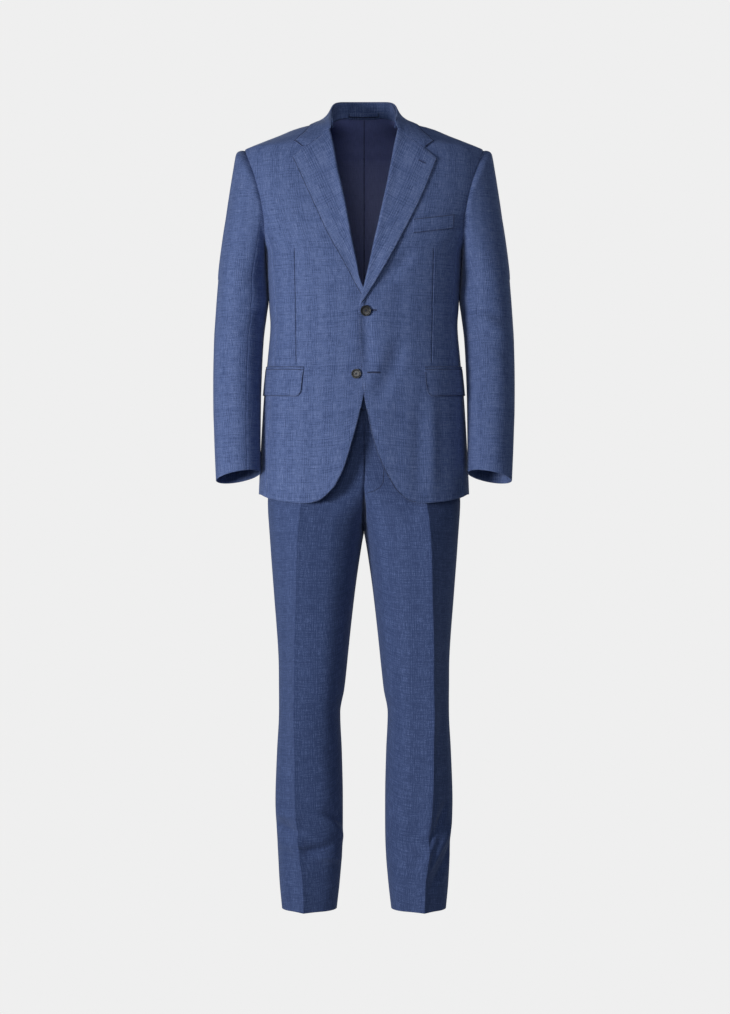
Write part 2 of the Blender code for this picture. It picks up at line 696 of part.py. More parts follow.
# ---- lapels and collar ----
def lapel_surface(side, x, height, roll_x):
    """A place on a turned-back lapel, fullest along its roll."""
    angle = body_angle(x, height)
    roll = LAPEL_ROLL * math.exp(-((x - roll_x) / LAPEL_ROLL_WIDTH) ** 2)
    lift = LAPEL_LIFT + roll + overlap_lift(side, angle, height)
    return plain_body(angle, height) + body_normal(angle, height) * lift


def lapel_grid(side, rows_down=16, columns=6):
    rows = []
    foot = LAPEL_FOOT[0 if side > 0 else 1]
    for i in range(rows_down + 1):
        share = i / rows_down
        row = lapel_edge(share)
        edge_x, edge_level = row[:2] if side > 0 else row[2:]
        roll_level = mix(ROLL_TOP, foot, share)
        roll_x = front_x(side, roll_level)
        line = []
        for j in range(columns + 1):
            across = j / columns
            height = mix(roll_level, edge_level, across)
            line.append(lapel_surface(side, mix(roll_x, edge_x, across), height, roll_x))
        rows.append(line)
    return rows


def outward_normals(rows, middle_faces):
    """Normals of a grid, turned so that its middle one looks the given way."""
    normals = grid_normals(rows)
    middle = normals[len(rows) // 2][len(rows[0]) // 2]
    facing = 1 if middle.dot(middle_faces) > 0 else -1
    return [[n * facing for n in line] for line in normals]


def facing_out(point):
    """The body's outward direction next to a place on a front."""
    return body_normal(body_angle(point.x, point.z), point.z)


def build_lapels():
    for side, name in ((1, "lapel_left"), (-1, "lapel_right")):
        rows = draw_back(lapel_grid(side))
        normals = outward_normals(rows, FORWARD)
        normals[0] = [facing_out(point) for point in rows[0]]
        if side < 0:
            rows, normals = mirrored(rows), mirrored(normals)
        wall(name, rows, normals, COLLAR_CLOTH, SUIT)


def body_top(x, y, lift):
    """Height over a place seen from above at which a piece clears the body by the lift."""
    low, high = -0.20, NECK_SIDE if y < 0 else NECK_BACK
    for _ in range(24):
        height = (low + high) / 2
        half_width, front, back, roundness = body_section(height)
        depth = (front if y < 0 else back) + lift
        inside = (abs(x) / (half_width + lift)) ** roundness + (abs(y) / depth) ** roundness < 1
        low, high = (height, high) if inside else (low, height)
    return low + 0.6 * lift


def collar_fold(station):
    x, y, z, _, _ = collar_line(abs(station))
    return Vector((math.copysign(x, station), y, z))


def collar_stations(count):
    return [-1 + 2 * i / count for i in range(count + 1)]


def leaf_point(station, across):
    """The leaf from the fold (0) to its outer edge (1)."""
    share = abs(station)
    angle, level = collar_line(share)[3:]
    edge = plain_body(angle, level) + body_normal(angle, level) * LEAF_LIFT
    start = collar_fold(share) + Vector((0.0, 0.0, COLLAR_CLOTH))
    roll_x = front_x(1, ROLL_TOP)
    corner_x = min(across / GORGE_SHARE, 1.0)
    bent = lapel_surface(1, mix(roll_x, GORGE_CORNER[0], corner_x),
                         mix(ROLL_TOP, GORGE_CORNER[1], corner_x), roll_x)
    if across > GORGE_SHARE:
        bent = bent.lerp(edge, (across - GORGE_SHARE) / (1 - GORGE_SHARE))
    to_front = smooth_step(share, 0.75, 1.0)
    run = edge - start
    inside = start + Vector((run.x * mix(0.2, 0.5, to_front), run.y * mix(0.2, 0.5, to_front),
                             run.z * mix(0.75, 0.5, to_front)))
    point = start.lerp(inside, across).lerp(inside.lerp(edge, across), across)
    point = point.lerp(bent, smooth_step(share, 0.80, 1.0))
    out = Vector((run.x, run.y, 0.0)).normalized()
    if share < 0.3:
        out = out.lerp(BACKWARD, 1 - share / 0.3).normalized()
    swell = math.sin(math.pi * across) * (1 - smooth_step(share, 0.2, 0.6))
    stand_off = smooth_step(across, 0.0, 0.14) * (1 - smooth_step(share, 0.9, 1.0)) * (1 - across)
    point = point + out * (LEAF_BELLY * swell + LEAF_STAND_OFF * stand_off)
    if share < 0.97:
        point.z = max(point.z, body_top(point.x, point.y, LEAF_CLEARANCE))
    return Vector((math.copysign(point.x, station) if share else 0.0, point.y, point.z))


def neck_seam(station):
    """Where the stand is sewn on, just inside the neck edge of the back and the fronts."""
    share = abs(station)
    turn, front = NECK_TURN
    if share < turn:
        angle = mix(180.0, NECK_TURN_ANGLE, share / turn)
        level = mix(NECK_SIDE, NECK_BACK, smooth_step(angle, 90, 150))
        point = plain_body(angle, level) - body_normal(angle, level) * STAND_INWARD
    else:
        level = mix(NECK_SIDE, ROLL_TOP, smooth_step(share, front, 1.0))
        x = front_x(1, level)
        if share < front:
            x = mix(plain_body(NECK_TURN_ANGLE, NECK_SIDE).x, x, smooth_step(share, turn, front))
        fold_y = collar_line(share)[1]
        point = Vector((x - STAND_INWARD, fold_y, level))
    return Vector((math.copysign(point.x, station) if share else 0.0, point.y, point.z + 0.0010))


def build_collar():
    leaf = draw_back([[leaf_point(s, j / 7) for s in collar_stations(28)] for j in range(8)],
                     amount=LEAF_GAP)
    normals = outward_normals(leaf, BACKWARD)
    for row, line in zip(leaf, normals):
        line[0], line[-1] = facing_out(row[0]), facing_out(row[-1])
    wall("collar_leaf", leaf, normals, COLLAR_CLOTH, SUIT)
    stand = []
    for j in range(5):
        row = []
        for s in collar_stations(20):
            station = s * STAND_REACH
            row.append(neck_seam(station).lerp(collar_fold(station) * STAND_TUCK, j / 4))
        stand.append(row)
    wall("collar_stand", stand, outward_normals(stand, BACKWARD), JACKET_CLOTH, SUIT)


# ---- pockets ----
def patch(side, corners, columns, rows_down, lift, corner_radius=0.0):
    """A piece laid on a front: its corners are angle and height, top inner, top outer, then below."""
    (top_in, top_out, low_in, low_out) = corners
    rows = []
    for i in range(rows_down + 1):
        down = i / rows_down
        row = []
        for j in range(columns + 1):
            across = (j / columns) ** (1.6 if corner_radius else 1.0)
            angle = mix(mix(top_in[0], top_out[0], across), mix(low_in[0], low_out[0], across), down)
            top, low = mix(top_in[1], top_out[1], across), mix(low_in[1], low_out[1], across)
            run = math.radians(across * (low_out[0] - low_in[0])) * BODY_RADIUS
            if run < corner_radius:
                low += corner_radius - math.sqrt(corner_radius ** 2 - (corner_radius - run) ** 2)
            row.append(body_point(side * angle, mix(top, low, down), lift))
        rows.append(row)
    return rows


def build_pockets():
    for side, name in ((1, "left"), (-1, "right")):
        rows = patch(side, FLAP_CORNERS, 12, 4, FLAP_LIFT, FLAP_CORNER_RADIUS)
        wall("flap_" + name, rows, outward_normals(rows, FORWARD), FLAP_CLOTH, SUIT)
        rows = patch(side, JET_CORNERS, 12, 1, JET_LIFT)
        wall("jet_" + name, rows, outward_normals(rows, FORWARD), JET_CLOTH, SUIT)
    rows = patch(1, WELT_CORNERS, 8, 2, WELT_LIFT)
    wall("breast_welt", rows, outward_normals(rows, FORWARD), FLAP_CLOTH, SUIT)


# ---- buttons ----
def button_profile():
    rim = BUTTON_RADIUS - BUTTON_RIM
    return ((0.0, BUTTON_HEIGHT - BUTTON_DISH), (rim * 0.8, BUTTON_HEIGHT - BUTTON_DISH),
            (rim, BUTTON_HEIGHT - 0.0002), (BUTTON_RADIUS - 0.0008, BUTTON_HEIGHT),
            (BUTTON_RADIUS, BUTTON_HEIGHT * 0.62), (BUTTON_RADIUS * 0.94, BUTTON_HEIGHT * 0.25),
            (BUTTON_RADIUS * 0.70, 0.0), (0.0028, 0.0), (0.0024, -BUTTON_SHANK),
            (0.0, -BUTTON_SHANK))


def build_button(name, angle, height, lift):
    """A turned horn button with four holes, on its thread shank."""
    segments = 20
    bm = bmesh.new()
    profile = button_profile()
    previous = None
    for radius, level in profile:
        if radius == 0.0:
            current = [bm.verts.new((0.0, 0.0, level))]
        else:
            current = [bm.verts.new((radius * math.cos(math.tau * k / segments),
                                     radius * math.sin(math.tau * k / segments), level))
                       for k in range(segments)]
        if previous:
            for k in range(segments):
                after = (k + 1) % segments
                ring_face = [previous[k % len(previous)], previous[after % len(previous)],
                             current[after % len(current)], current[k % len(current)]]
                bm.faces.new(list(dict.fromkeys(ring_face)))
        previous = current
    button = add_object(name, bm, DARK_HORN)
    normal = body_normal(angle, height)
    seat = body_point(angle, height, lift + BUTTON_SHANK + 0.0003)
    button.location = seat
    button.rotation_euler = normal.to_track_quat("Z", "Y").to_euler()
    for k in range(4):
        place = math.tau * (k + 0.5) / 4
        cut_hole(button, name, k, BUTTON_HOLE_SPACING * Vector((math.cos(place), math.sin(place), 0)))


def cut_hole(button, name, number, place):
    """A thread hole, sunk into the button's face."""
    bm = bmesh.new()
    bmesh.ops.create_cone(bm, cap_ends=True, segments=6, radius1=BUTTON_HOLE, radius2=BUTTON_HOLE,
                          depth=2 * BUTTON_HEIGHT)
    bmesh.ops.translate(bm, verts=bm.verts, vec=place + Vector((0, 0, BUTTON_HEIGHT + 0.0010)))
    cutter = add_object(name + "_hole_%d" % number, bm, DARK_HORN)
    cutter.parent = button
    cutter.hide_render = True
    cutter.display_type = "WIRE"
    bite = button.modifiers.new("hole_%d" % number, "BOOLEAN")
    bite.operation = "DIFFERENCE"
    bite.solver = "EXACT"
    bite.object = cutter


def build_hanger_loop():
    """The loop at the inside of the neck, sewn down at its two ends."""
    rows = []
    for j in range(4):
        row = []
        for i in range(9):
            share = -1 + 2 * i / 8
            station = share * LOOP_REACH
            top = collar_fold(station) - Vector((0.0, 0.0, COLLAR_CLOTH))
            point = neck_seam(station).lerp(top, LOOP_START + LOOP_HEIGHT * j / 3)
            row.append(point - Vector((0.0, LOOP_STAND_OFF + LOOP_BOW * (1 - share * share), 0.0)))
        rows.append(row)
    normals = [[Vector((0.0, -1.0, 0.0)) for _ in row] for row in rows]
    wall("hanger_loop", rows, normals, LOOP_CLOTH, SUIT)


# ---- trouser panels ----
def leg_levels():
    upper = [WAISTBAND_TOP - WAISTBAND_HEIGHT, -0.570, -0.610, -0.645, -0.680, -0.710, -0.738,
             FORK_LEVEL]
    lower = [-0.805, -0.860, -0.920, -0.985, -1.050, -1.100, -1.160, -1.220]
    folds = [mix(-1.260, -1.410, i / 8) for i in range(9)]
    return upper + lower + folds + [-1.440, TROUSER_HEM]


def leg_grid(side, back, half_columns=5):
    """Points of a front or back panel from its inner edge, past its crease, to the side seam."""
    rows, normals = [], []
    for height in leg_levels():
        front_crease, back_crease = leg_section(height)[5:]
        inner = fork_angle(height)
        if back:
            ends = (90.0, back_crease, 180 + inner)
            if ends[2] < back_crease + 8:
                ends = (90.0, mix(90.0, 180 + inner, 0.6), 180 + inner)
        else:
            ends = (-inner, front_crease, 90.0)
        angles = [mix(ends[0], ends[1], j / half_columns) for j in range(half_columns)]
        angles += [mix(ends[1], ends[2], j / half_columns) for j in range(half_columns + 1)]
        row = [leg_point(side, angle, height) for angle in angles]
        line = [leg_normal(angle, height) for angle in angles]
        middle = -1 if back else 0
        if height >= FORK_LEVEL:
            row[middle].x = 0.0
            line[middle] = Vector((0.0, line[middle].y, line[middle].z)).normalized()
        rows.append(row)
        normals.append(line)
    return rows, normals


def build_legs():
    for back, name in ((False, "leg_front"), (True, "leg_back")):
        for side, end in ((1, "_left"), (-1, "_right")):
            rows, normals = leg_grid(side, back)
            rows = draw_back(rows)
            if side < 0:
                rows, normals = mirrored(rows), mirrored(normals)
            wall(name + end, rows, normals, TROUSER_CLOTH, SUIT)


def build_waistband():
    rows, normals = [], []
    _, half_width, front, back, roundness, _, _ = leg_section(LEG_ROWS[0][0])
    for share in (0.0, 0.5, 1.0):
        height = WAISTBAND_TOP - WAISTBAND_HEIGHT * share
        row, line = [], []
        for j in range(15):
            angle = 180 * j / 14
            x, y = ring(angle, half_width, front, back, roundness)
            before = Vector(ring(angle - 0.5, half_width, front, back, roundness))
            after = Vector(ring(angle + 0.5, half_width, front, back, roundness))
            run = after - before
            row.append(Vector((x, y, height)))
            line.append(Vector((run.y, -run.x, 0.0)).normalized())
        rows.append(row)
        normals.append(line)
    both_sides("waistband", draw_back(rows), normals, WAISTBAND_CLOTH, SUIT)


def main():
    clear_scene()
    directions = armhole_directions()
    build_fronts(directions)
    build_sides(directions)
    build_backs(directions)
    build_sleeves()
    build_lapels()
    build_collar()
    build_pockets()
    build_button("button_upper", 0.6, UPPER_BUTTON, OVERLAP_LIFT)
    build_button("button_lower", -body_angle(0.0141, LOWER_BUTTON), LOWER_BUTTON, 0.0)
    build_hanger_loop()
    build_legs()
    build_waistband()


main()
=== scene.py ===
# Two-piece suit on its own worn form: jacket and trousers in a fine blue worsted.
import functools
import math

import bmesh
import bpy
import numpy as np
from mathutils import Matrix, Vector


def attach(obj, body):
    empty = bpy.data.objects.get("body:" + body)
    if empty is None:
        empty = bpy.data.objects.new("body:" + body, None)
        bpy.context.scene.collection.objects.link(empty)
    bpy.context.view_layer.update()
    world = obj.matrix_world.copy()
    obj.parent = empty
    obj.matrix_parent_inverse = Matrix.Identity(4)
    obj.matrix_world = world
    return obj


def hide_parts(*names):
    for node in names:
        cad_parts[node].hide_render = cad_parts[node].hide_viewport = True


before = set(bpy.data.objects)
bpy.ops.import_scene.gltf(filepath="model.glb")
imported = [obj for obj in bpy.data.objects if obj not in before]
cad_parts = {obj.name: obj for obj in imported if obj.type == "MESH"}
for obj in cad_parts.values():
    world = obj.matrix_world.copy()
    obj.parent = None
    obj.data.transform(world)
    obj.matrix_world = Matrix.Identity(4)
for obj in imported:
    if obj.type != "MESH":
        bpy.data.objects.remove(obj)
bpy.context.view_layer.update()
print("frame loaded:", len(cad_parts), "solids")


# reading tables, rings and folds
def smoothTable(rows):
    # passes every row of the table and never overshoots between two
    ordered = np.array(sorted(rows), dtype=float)
    keys, values = ordered[:, 0], ordered[:, 1:]
    steps = np.diff(values, axis=0) / np.diff(keys)[:, None]
    slopes = np.zeros_like(values)
    slopes[0], slopes[-1] = steps[0], steps[-1]
    before, after = steps[:-1], steps[1:]
    same = before * after > 0
    slopes[1:-1] = np.where(same, 2 * before * after / np.where(same, before + after, 1.0), 0.0)

    def read(key):
        key = np.clip(np.asarray(key, dtype=float), keys[0], keys[-1])
        i = np.clip(np.searchsorted(keys, key, side="right") - 1, 0, len(keys) - 2)
        width = keys[i + 1] - keys[i]
        t = (key - keys[i]) / width
        start, end = 1 - 3 * t * t + 2 * t ** 3, 3 * t * t - 2 * t ** 3
        leave, arrive = t * (1 - t) ** 2 * width, t * t * (t - 1) * width
        found = (start[..., None] * values[i] + end[..., None] * values[i + 1]
                 + leave[..., None] * slopes[i] + arrive[..., None] * slopes[i + 1])
        return np.moveaxis(found, -1, 0)

    return read


def mix(a, b, share):
    return a + (b - a) * share


def smoothStep(value, low, high):
    share = np.clip((value - low) / (high - low), 0.0, 1.0)
    return share * share * (3 - 2 * share)


def unit(vectors):
    return vectors / np.maximum(np.linalg.norm(vectors, axis=-1, keepdims=True), 1e-12)


def ringXY(angle, halfWidth, front, back, roundness):
    # 0 degrees is the front, 90 the wearer's left, 180 the back
    sine, cosine = np.sin(np.radians(angle)), np.cos(np.radians(angle))
    depth = np.where(cosine > 0, front, back)
    return (halfWidth * np.sign(sine) * np.abs(sine) ** (2 / roundness),
            -depth * np.sign(cosine) * np.abs(cosine) ** (2 / roundness))


def foldRise(folds, angle, height, radius):
    # folds: angle, height, degrees from level, half length, half width, depth, skew of the slopes
    total = np.zeros(np.broadcast(angle, height).shape)
    for foldAngle, level, slant, halfLength, halfWidth, depth, skew in folds:
        around = np.radians((angle - foldAngle + 180) % 360 - 180) * radius
        rise = height - level
        cosine, sine = math.cos(math.radians(slant)), math.sin(math.radians(slant))
        along, across = around * cosine + rise * sine, rise * cosine - around * sine
        across = across / halfWidth
        across = across / (1 + skew * np.tanh(across))
        total = total + depth * np.exp(-(along / halfLength) ** 4) * np.exp(-across ** 2)
    return total


def outward(surface, angle, height, stepAngle=0.4, stepHeight=0.0012):
    alongA = surface(angle + stepAngle, height) - surface(angle - stepAngle, height)
    alongH = surface(angle, height + stepHeight) - surface(angle, height - stepHeight)
    return unit(np.cross(alongA, alongH))


def gridNormals(points, facing):
    # normals from neighbouring points, turned to the side that the middle one should face
    normals = unit(np.cross(np.gradient(points, axis=1), np.gradient(points, axis=0)))
    middle = normals[len(normals) // 2, len(normals[0]) // 2]
    return normals if np.dot(middle, facing) > 0 else -normals


def spread(count, size, low=True, high=True):
    # shares of the way across, closer together beside a seam
    near = np.array((0.0010, 0.0024, 0.0045)) / size
    edge = 0.0075 / size
    parts = [[0.0], near if low else [], np.linspace(edge, 1 - edge, count),
             1 - near[::-1] if high else [], [1.0]]
    return np.concatenate([np.asarray(part, dtype=float) for part in parts])


def mirrored(points):
    return points * np.array((-1.0, 1.0, 1.0))


def onSide(side, points, normals):
    return (points, normals) if side > 0 else (mirrored(points), mirrored(normals))


def ofSide(side, pair):
    return pair[0] if side > 0 else pair[1]


def lengthsAlong(points, axis):
    steps = np.linalg.norm(np.diff(points, axis=axis), axis=-1)
    start = np.zeros_like(np.take(steps, [0], axis=axis))
    return np.cumsum(np.concatenate([start, steps], axis=axis), axis=axis)


# cloth panels
sides = ((1, "Left"), (-1, "Right"))
grids = {}  # the outer face of every panel, for the stitches on it


def linked(name, data):
    made = bpy.data.objects.new(name, data)
    bpy.context.scene.collection.objects.link(made)
    return made


def dress(piece):
    # a piece takes the place of the solid of its own name, such as front_left for frontLeft
    solid = "".join("_" + letter.lower() if letter.isupper() else letter for letter in piece.name)
    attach(piece, "root")
    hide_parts(solid)


def sewnEdges(points, normals, across, down, seams, look):
    # sewn borders are drawn in: L and R are the ends of the rows, S and E the first and last row
    reach = {"L": across, "R": across[:, -1:] - across, "S": down, "E": down[-1:] - down}
    sink = np.zeros(across.shape)
    for border, distance in reach.items():
        if border in seams:
            sink += look["seamDepth"] * np.exp(-(distance / look["seamWidth"]) ** 2)
    return points - normals * sink[..., None]


def shellMesh(name, points, normals, grain, lined, look):
    # a thin shell: the outer face, the inner face, and a rounded rim between them
    rows, columns = points.shape[:2]
    inner = points - normals * look["thickness"]
    border = ([(0, j) for j in range(columns)] + [(i, columns - 1) for i in range(1, rows)]
              + [(rows - 1, j) for j in range(columns - 2, -1, -1)]
              + [(i, 0) for i in range(rows - 2, 0, -1)])
    rimRow, rimColumn = np.array(border).T
    edge = points[rimRow, rimColumn]
    inward = points[np.clip(rimRow, 1, rows - 2), np.clip(rimColumn, 1, columns - 2)]
    rim = (edge + inner[rimRow, rimColumn]) / 2 + unit(edge - inward) * look["thickness"] * look["edgeRound"]
    vertices = np.concatenate([points.reshape(-1, 3), inner.reshape(-1, 3), rim])
    grainAll = np.concatenate([grain.reshape(-1, 2), grain.reshape(-1, 2), grain[rimRow, rimColumn]])

    i, j = np.meshgrid(np.arange(rows - 1), np.arange(columns - 1), indexing="ij")
    corner = (i * columns + j).ravel()
    count = rows * columns
    outerFaces = np.stack([corner, corner + 1, corner + columns + 1, corner + columns], 1)
    innerFaces = outerFaces[:, ::-1] + count
    onOuter, onRim = rimRow * columns + rimColumn, 2 * count + np.arange(len(border))
    nextOuter, nextRim = np.roll(onOuter, -1), np.roll(onRim, -1)
    upper = np.stack([onOuter, onRim, nextRim, nextOuter], 1)
    lower = np.stack([onRim, count + onOuter, count + nextOuter, nextRim], 1)
    faces = np.concatenate([outerFaces, innerFaces, upper, lower])

    mesh = bpy.data.meshes.new(name)
    mesh.from_pydata(vertices.tolist(), [], faces.tolist())
    corners = np.zeros(len(mesh.loops), dtype=np.int32)
    mesh.loops.foreach_get("vertex_index", corners)
    mesh.uv_layers.new(name="grain").data.foreach_set("uv", grainAll[corners].ravel())
    slots = np.zeros(len(faces), dtype=np.int32)
    slots[len(outerFaces):2 * len(outerFaces)] = lined.ravel()
    mesh.polygons.foreach_set("material_index", slots)
    mesh.polygons.foreach_set("use_smooth", np.ones(len(faces), dtype=bool))
    bm = bmesh.new()
    bm.from_mesh(mesh)
    bmesh.ops.recalc_face_normals(bm, faces=bm.faces)
    bm.to_mesh(mesh)
    bm.free()
    return mesh


def clothPanel(name, points, normals, look, seams="", held="hung", restsOn=(), slot="suit_cloth",
               innerLook=None, innerFrom=None, anchor=0.5, grainU=None, vFrom=None):
    # anchor: share of the way across where the grain starts; innerFrom: where the inner face shows innerLook
    across, down = lengthsAlong(points, 1), lengthsAlong(points, 0)
    points = sewnEdges(points, normals, across, down, seams, look)
    grids[name] = (points, normals)
    middle = int(round(anchor * (across.shape[1] - 1)))
    u = across - across[:, middle:middle + 1] if grainU is None else grainU
    v = np.broadcast_to(down[:, middle:middle + 1], u.shape)
    if vFrom is not None:
        v = down - down[vFrom:vFrom + 1]
    lined = np.ones((len(points) - 1, points.shape[1] - 1), dtype=np.int32)
    if innerFrom:
        lined = innerFrom(across[:-1, :-1], down[:-1, :-1], down[-1:, :-1] - down[:-1, :-1]).astype(np.int32)
    mesh = shellMesh(name, points, normals, np.stack([u, v], -1), lined, look)
    mesh.materials.append(look["material"])
    mesh.materials.append(innerLook or look["material"])
    piece = linked(name, mesh)
    dress(piece)


# materials
def plug(tree, socket, value):
    if isinstance(value, bpy.types.NodeSocket):
        tree.links.new(value, socket)
    else:
        socket.default_value = value


def node(tree, kind, inputs=None, **settings):
    made = tree.nodes.new(kind)
    for key, value in settings.items():
        setattr(made, key, value)
    for key, value in (inputs or {}).items():
        plug(tree, made.inputs[key], value)
    return made


def maths(tree, operation, *values):
    return node(tree, "ShaderNodeMath", dict(enumerate(values)), operation=operation).outputs[0]


def sums(tree):
    # a tree's own add, less and times
    return [functools.partial(maths, tree, operation) for operation in ("ADD", "SUBTRACT", "MULTIPLY")]


def ramp(tree, value, low, high, start=1.0, end=0.0, smooth=True):
    return node(tree, "ShaderNodeMapRange", {
        "Value": value, "From Min": low, "From Max": high, "To Min": start, "To Max": end},
        interpolation_type="SMOOTHSTEP" if smooth else "LINEAR").outputs[0]


def newGroup(name, kind, inputs, outputs):
    # inputs and outputs: each socket's name and the end of its type's name
    group = bpy.data.node_groups.new(name, kind)
    for way, sockets in (("INPUT", inputs), ("OUTPUT", outputs)):
        for key, ending in sockets.items():
            group.interface.new_socket(key, in_out=way, socket_type="NodeSocket" + ending)
    return group, group.nodes.new("NodeGroupInput").outputs, group.nodes.new("NodeGroupOutput").inputs


def newMaterial(name, values):
    # values: the shader's sockets that are the same all over
    made = bpy.data.materials.new(name)
    made.use_nodes = True
    shader = made.node_tree.nodes["Principled BSDF"]
    for key, value in values.items():
        shader.inputs[key].default_value = value
    return made, made.node_tree, shader


def twoColours(tree, shader, share, dark, light):
    made = node(tree, "ShaderNodeMix", {"Factor": share, 6: (*dark, 1.0), 7: (*light, 1.0)}, data_type="RGBA")
    plug(tree, shader.inputs["Base Color"], made.outputs[2])


def emboss(tree, shader, height, strength, distance):
    bump = node(tree, "ShaderNodeBump", {"Strength": strength, "Distance": distance, "Height": height})
    plug(tree, shader.inputs["Normal"], bump.outputs["Normal"])


def bandGroup():
    # a soft square wave: 1 inside each band, 0 between bands
    group, start, end = newGroup("clothBand", "ShaderNodeTree", {
        "Place": "Float", "Period": "Float", "Width": "Float", "Softness": "Float"}, {"Band": "Float"})
    add, less, times = sums(group)
    turn = maths(group, "FRACT", maths(group, "DIVIDE", start["Place"], start["Period"]))
    half = times(start["Width"], 0.5)
    fromMiddle = maths(group, "ABSOLUTE", less(turn, 0.5))
    edge = ramp(group, fromMiddle, less(half, start["Softness"]), add(half, start["Softness"]))
    plug(group, end["Band"], edge)
    return group


weaveLook = {
    # streaks in a metre, across and down the cloth
    "warp": ((760.0, 60.0), (1500.0, 420.0)), "weft": ((45.0, 760.0), (420.0, 1500.0)),
    "heavyWeft": (9.0, 400.0), "heavyWarp": (400.0, 10.0), "patches": (22.0, 22.0),
    # the part of the noise that makes a heavy thread, dark and light, and the light one's strength
    "darkThread": (-0.24, -0.13), "lightThread": (0.15, 0.26), "lightest": 0.55,
    # repeat, share and softness of the check's bands and of the fine lines in them
    "bandsAcross": (0.0385, 0.52, 0.05), "linesAcross": (0.0042, 0.45, 0.16),
    "bandsDown": (0.0460, 0.40, 0.05), "linesDown": (0.0058, 0.45, 0.16), "dots": (0.0027, 0.50, 0.20),
    # weight of each in the tone
    "slub": 1.15, "patchy": 0.03, "heavy": 0.085, "heavyWarpShare": 0.7, "downShare": 0.35,
    "threadPitch": (0.00062, 0.00068)}


def worstedGroup(band):
    # slubby warp and weft threads, a faint glen check and the fine weave under them
    look = weaveLook
    group, start, end = newGroup("worstedWeave", "ShaderNodeTree", {
        "Grain": "Vector", "Warp Slub": "Float", "Weft Slub": "Float", "Check": "Float", "Shift": "Float"},
        {"Tone": "Float", "Height": "Float"})
    add, less, times = sums(group)
    parts = node(group, "ShaderNodeSeparateXYZ", {0: start["Grain"]}).outputs
    u, v = add(parts[0], start["Shift"]), add(parts[1], start["Shift"])

    def streaks(across, down, detail=1.0):
        place = node(group, "ShaderNodeCombineXYZ", {0: times(u, across), 1: times(v, down)})
        made = node(group, "ShaderNodeTexNoise", {"Vector": place.outputs[0], "Scale": 1.0, "Detail": detail,
                                                  "Roughness": 0.55}, noise_dimensions="2D")
        return less(made.outputs["Fac"], 0.5)

    def heavyThread(across, down):
        # darker or lighter than the rest, for some of its length
        value = streaks(across, down, 0.0)
        return add(ramp(group, value, *look["darkThread"], -1.0, 0.0),
                   ramp(group, value, *look["lightThread"], 0.0, look["lightest"]))

    def bands(place, period, width, softness):
        return node(group, "ShaderNodeGroup", {"Place": place, "Period": period, "Width": width,
                                               "Softness": softness}, node_tree=band).outputs["Band"]

    warp, weft = (add(*[streaks(*row) for row in look[key]]) for key in ("warp", "weft"))
    heavyWarp = times(heavyThread(*look["heavyWarp"]), look["heavyWarpShare"])
    heavy = add(heavyThread(*look["heavyWeft"]), heavyWarp)
    patches = streaks(*look["patches"], 2.0)
    slub = add(times(warp, start["Warp Slub"]), times(weft, start["Weft Slub"]))
    checkAcross = times(bands(u, *look["bandsAcross"]), bands(u, *look["linesAcross"]))
    checkAcross = times(checkAcross, add(0.55, times(bands(v, *look["dots"]), 0.7)))
    checkDown = times(bands(v, *look["bandsDown"]), bands(v, *look["linesDown"]))
    check = times(add(checkAcross, times(checkDown, look["downShare"])), add(0.75, times(patches, 0.9)))
    tone = add(add(times(slub, look["slub"]), times(patches, look["patchy"])), times(heavy, look["heavy"]))
    plug(group, end["Tone"], less(tone, times(check, start["Check"])))

    fineWarp, fineWeft = (maths(group, "SINE", times(way, math.tau / pitch))
                          for way, pitch in zip((u, v), look["threadPitch"]))
    plug(group, end["Height"], add(times(times(fineWarp, fineWeft), 0.5), times(slub, 0.9)))
    return group


worsted = worstedGroup(bandGroup())

clothLook = {
    "deep": (0.032, 0.054, 0.142), "mid": (0.079, 0.119, 0.266), "light": (0.165, 0.215, 0.400),
    "warpSlub": 0.66, "weftSlub": 0.50, "check": 0.21, "bump": 0.16, "bumpHeight": 0.0006,
    "dartTone": 0.34, "dartGroove": 2.2,
    "shader": {"Roughness": 0.78, "Specular IOR Level": 0.25, "Sheen Weight": 0.20, "Sheen Roughness": 0.45,
               "Sheen Tint": (0.62, 0.72, 1.0, 1.0)}}
# front darts: top and foot as x and height, width of the painted shade, and the groove with a ridge beside it
dartCut = {"top": (0.1285, -0.2314), "foot": (0.1254, -0.4445), "shade": 0.0012, "depth": 0.0009,
           "width": 0.0011, "ridge": (0.0005, 0.0001), "ridgeAway": 0.0021, "ridgeWidth": 0.0010,
           "slant": 1.2}
satinLook = {
    # the back's colours are made lighter, painted light inside the jacket; the sleeve's darker, painted shade
    # inside the sleeves
    "back": ((0.085, 0.102, 0.250), (0.195, 0.228, 0.500)),
    "sleeve": ((0.022, 0.027, 0.070), (0.050, 0.060, 0.150)),
    "warpSlub": 0.7, "weftSlub": 0.2, "bump": 0.08, "bumpHeight": 0.0004,
    "shader": {"Roughness": 0.46, "Specular IOR Level": 0.22, "Sheen Weight": 0.12,
               "Sheen Tint": (0.45, 0.55, 1.0, 1.0)}}
hornLook = {
    "dark": ((0.003, 0.003, 0.004), (0.010, 0.010, 0.011)),
    # paler horn for the button's dished face: painted highlight
    "pale": ((0.008, 0.008, 0.009), (0.050, 0.046, 0.045)),
    "rough": (0.28, 0.44), "shader": {"Coat Weight": 0.20, "Coat Roughness": 0.12}}


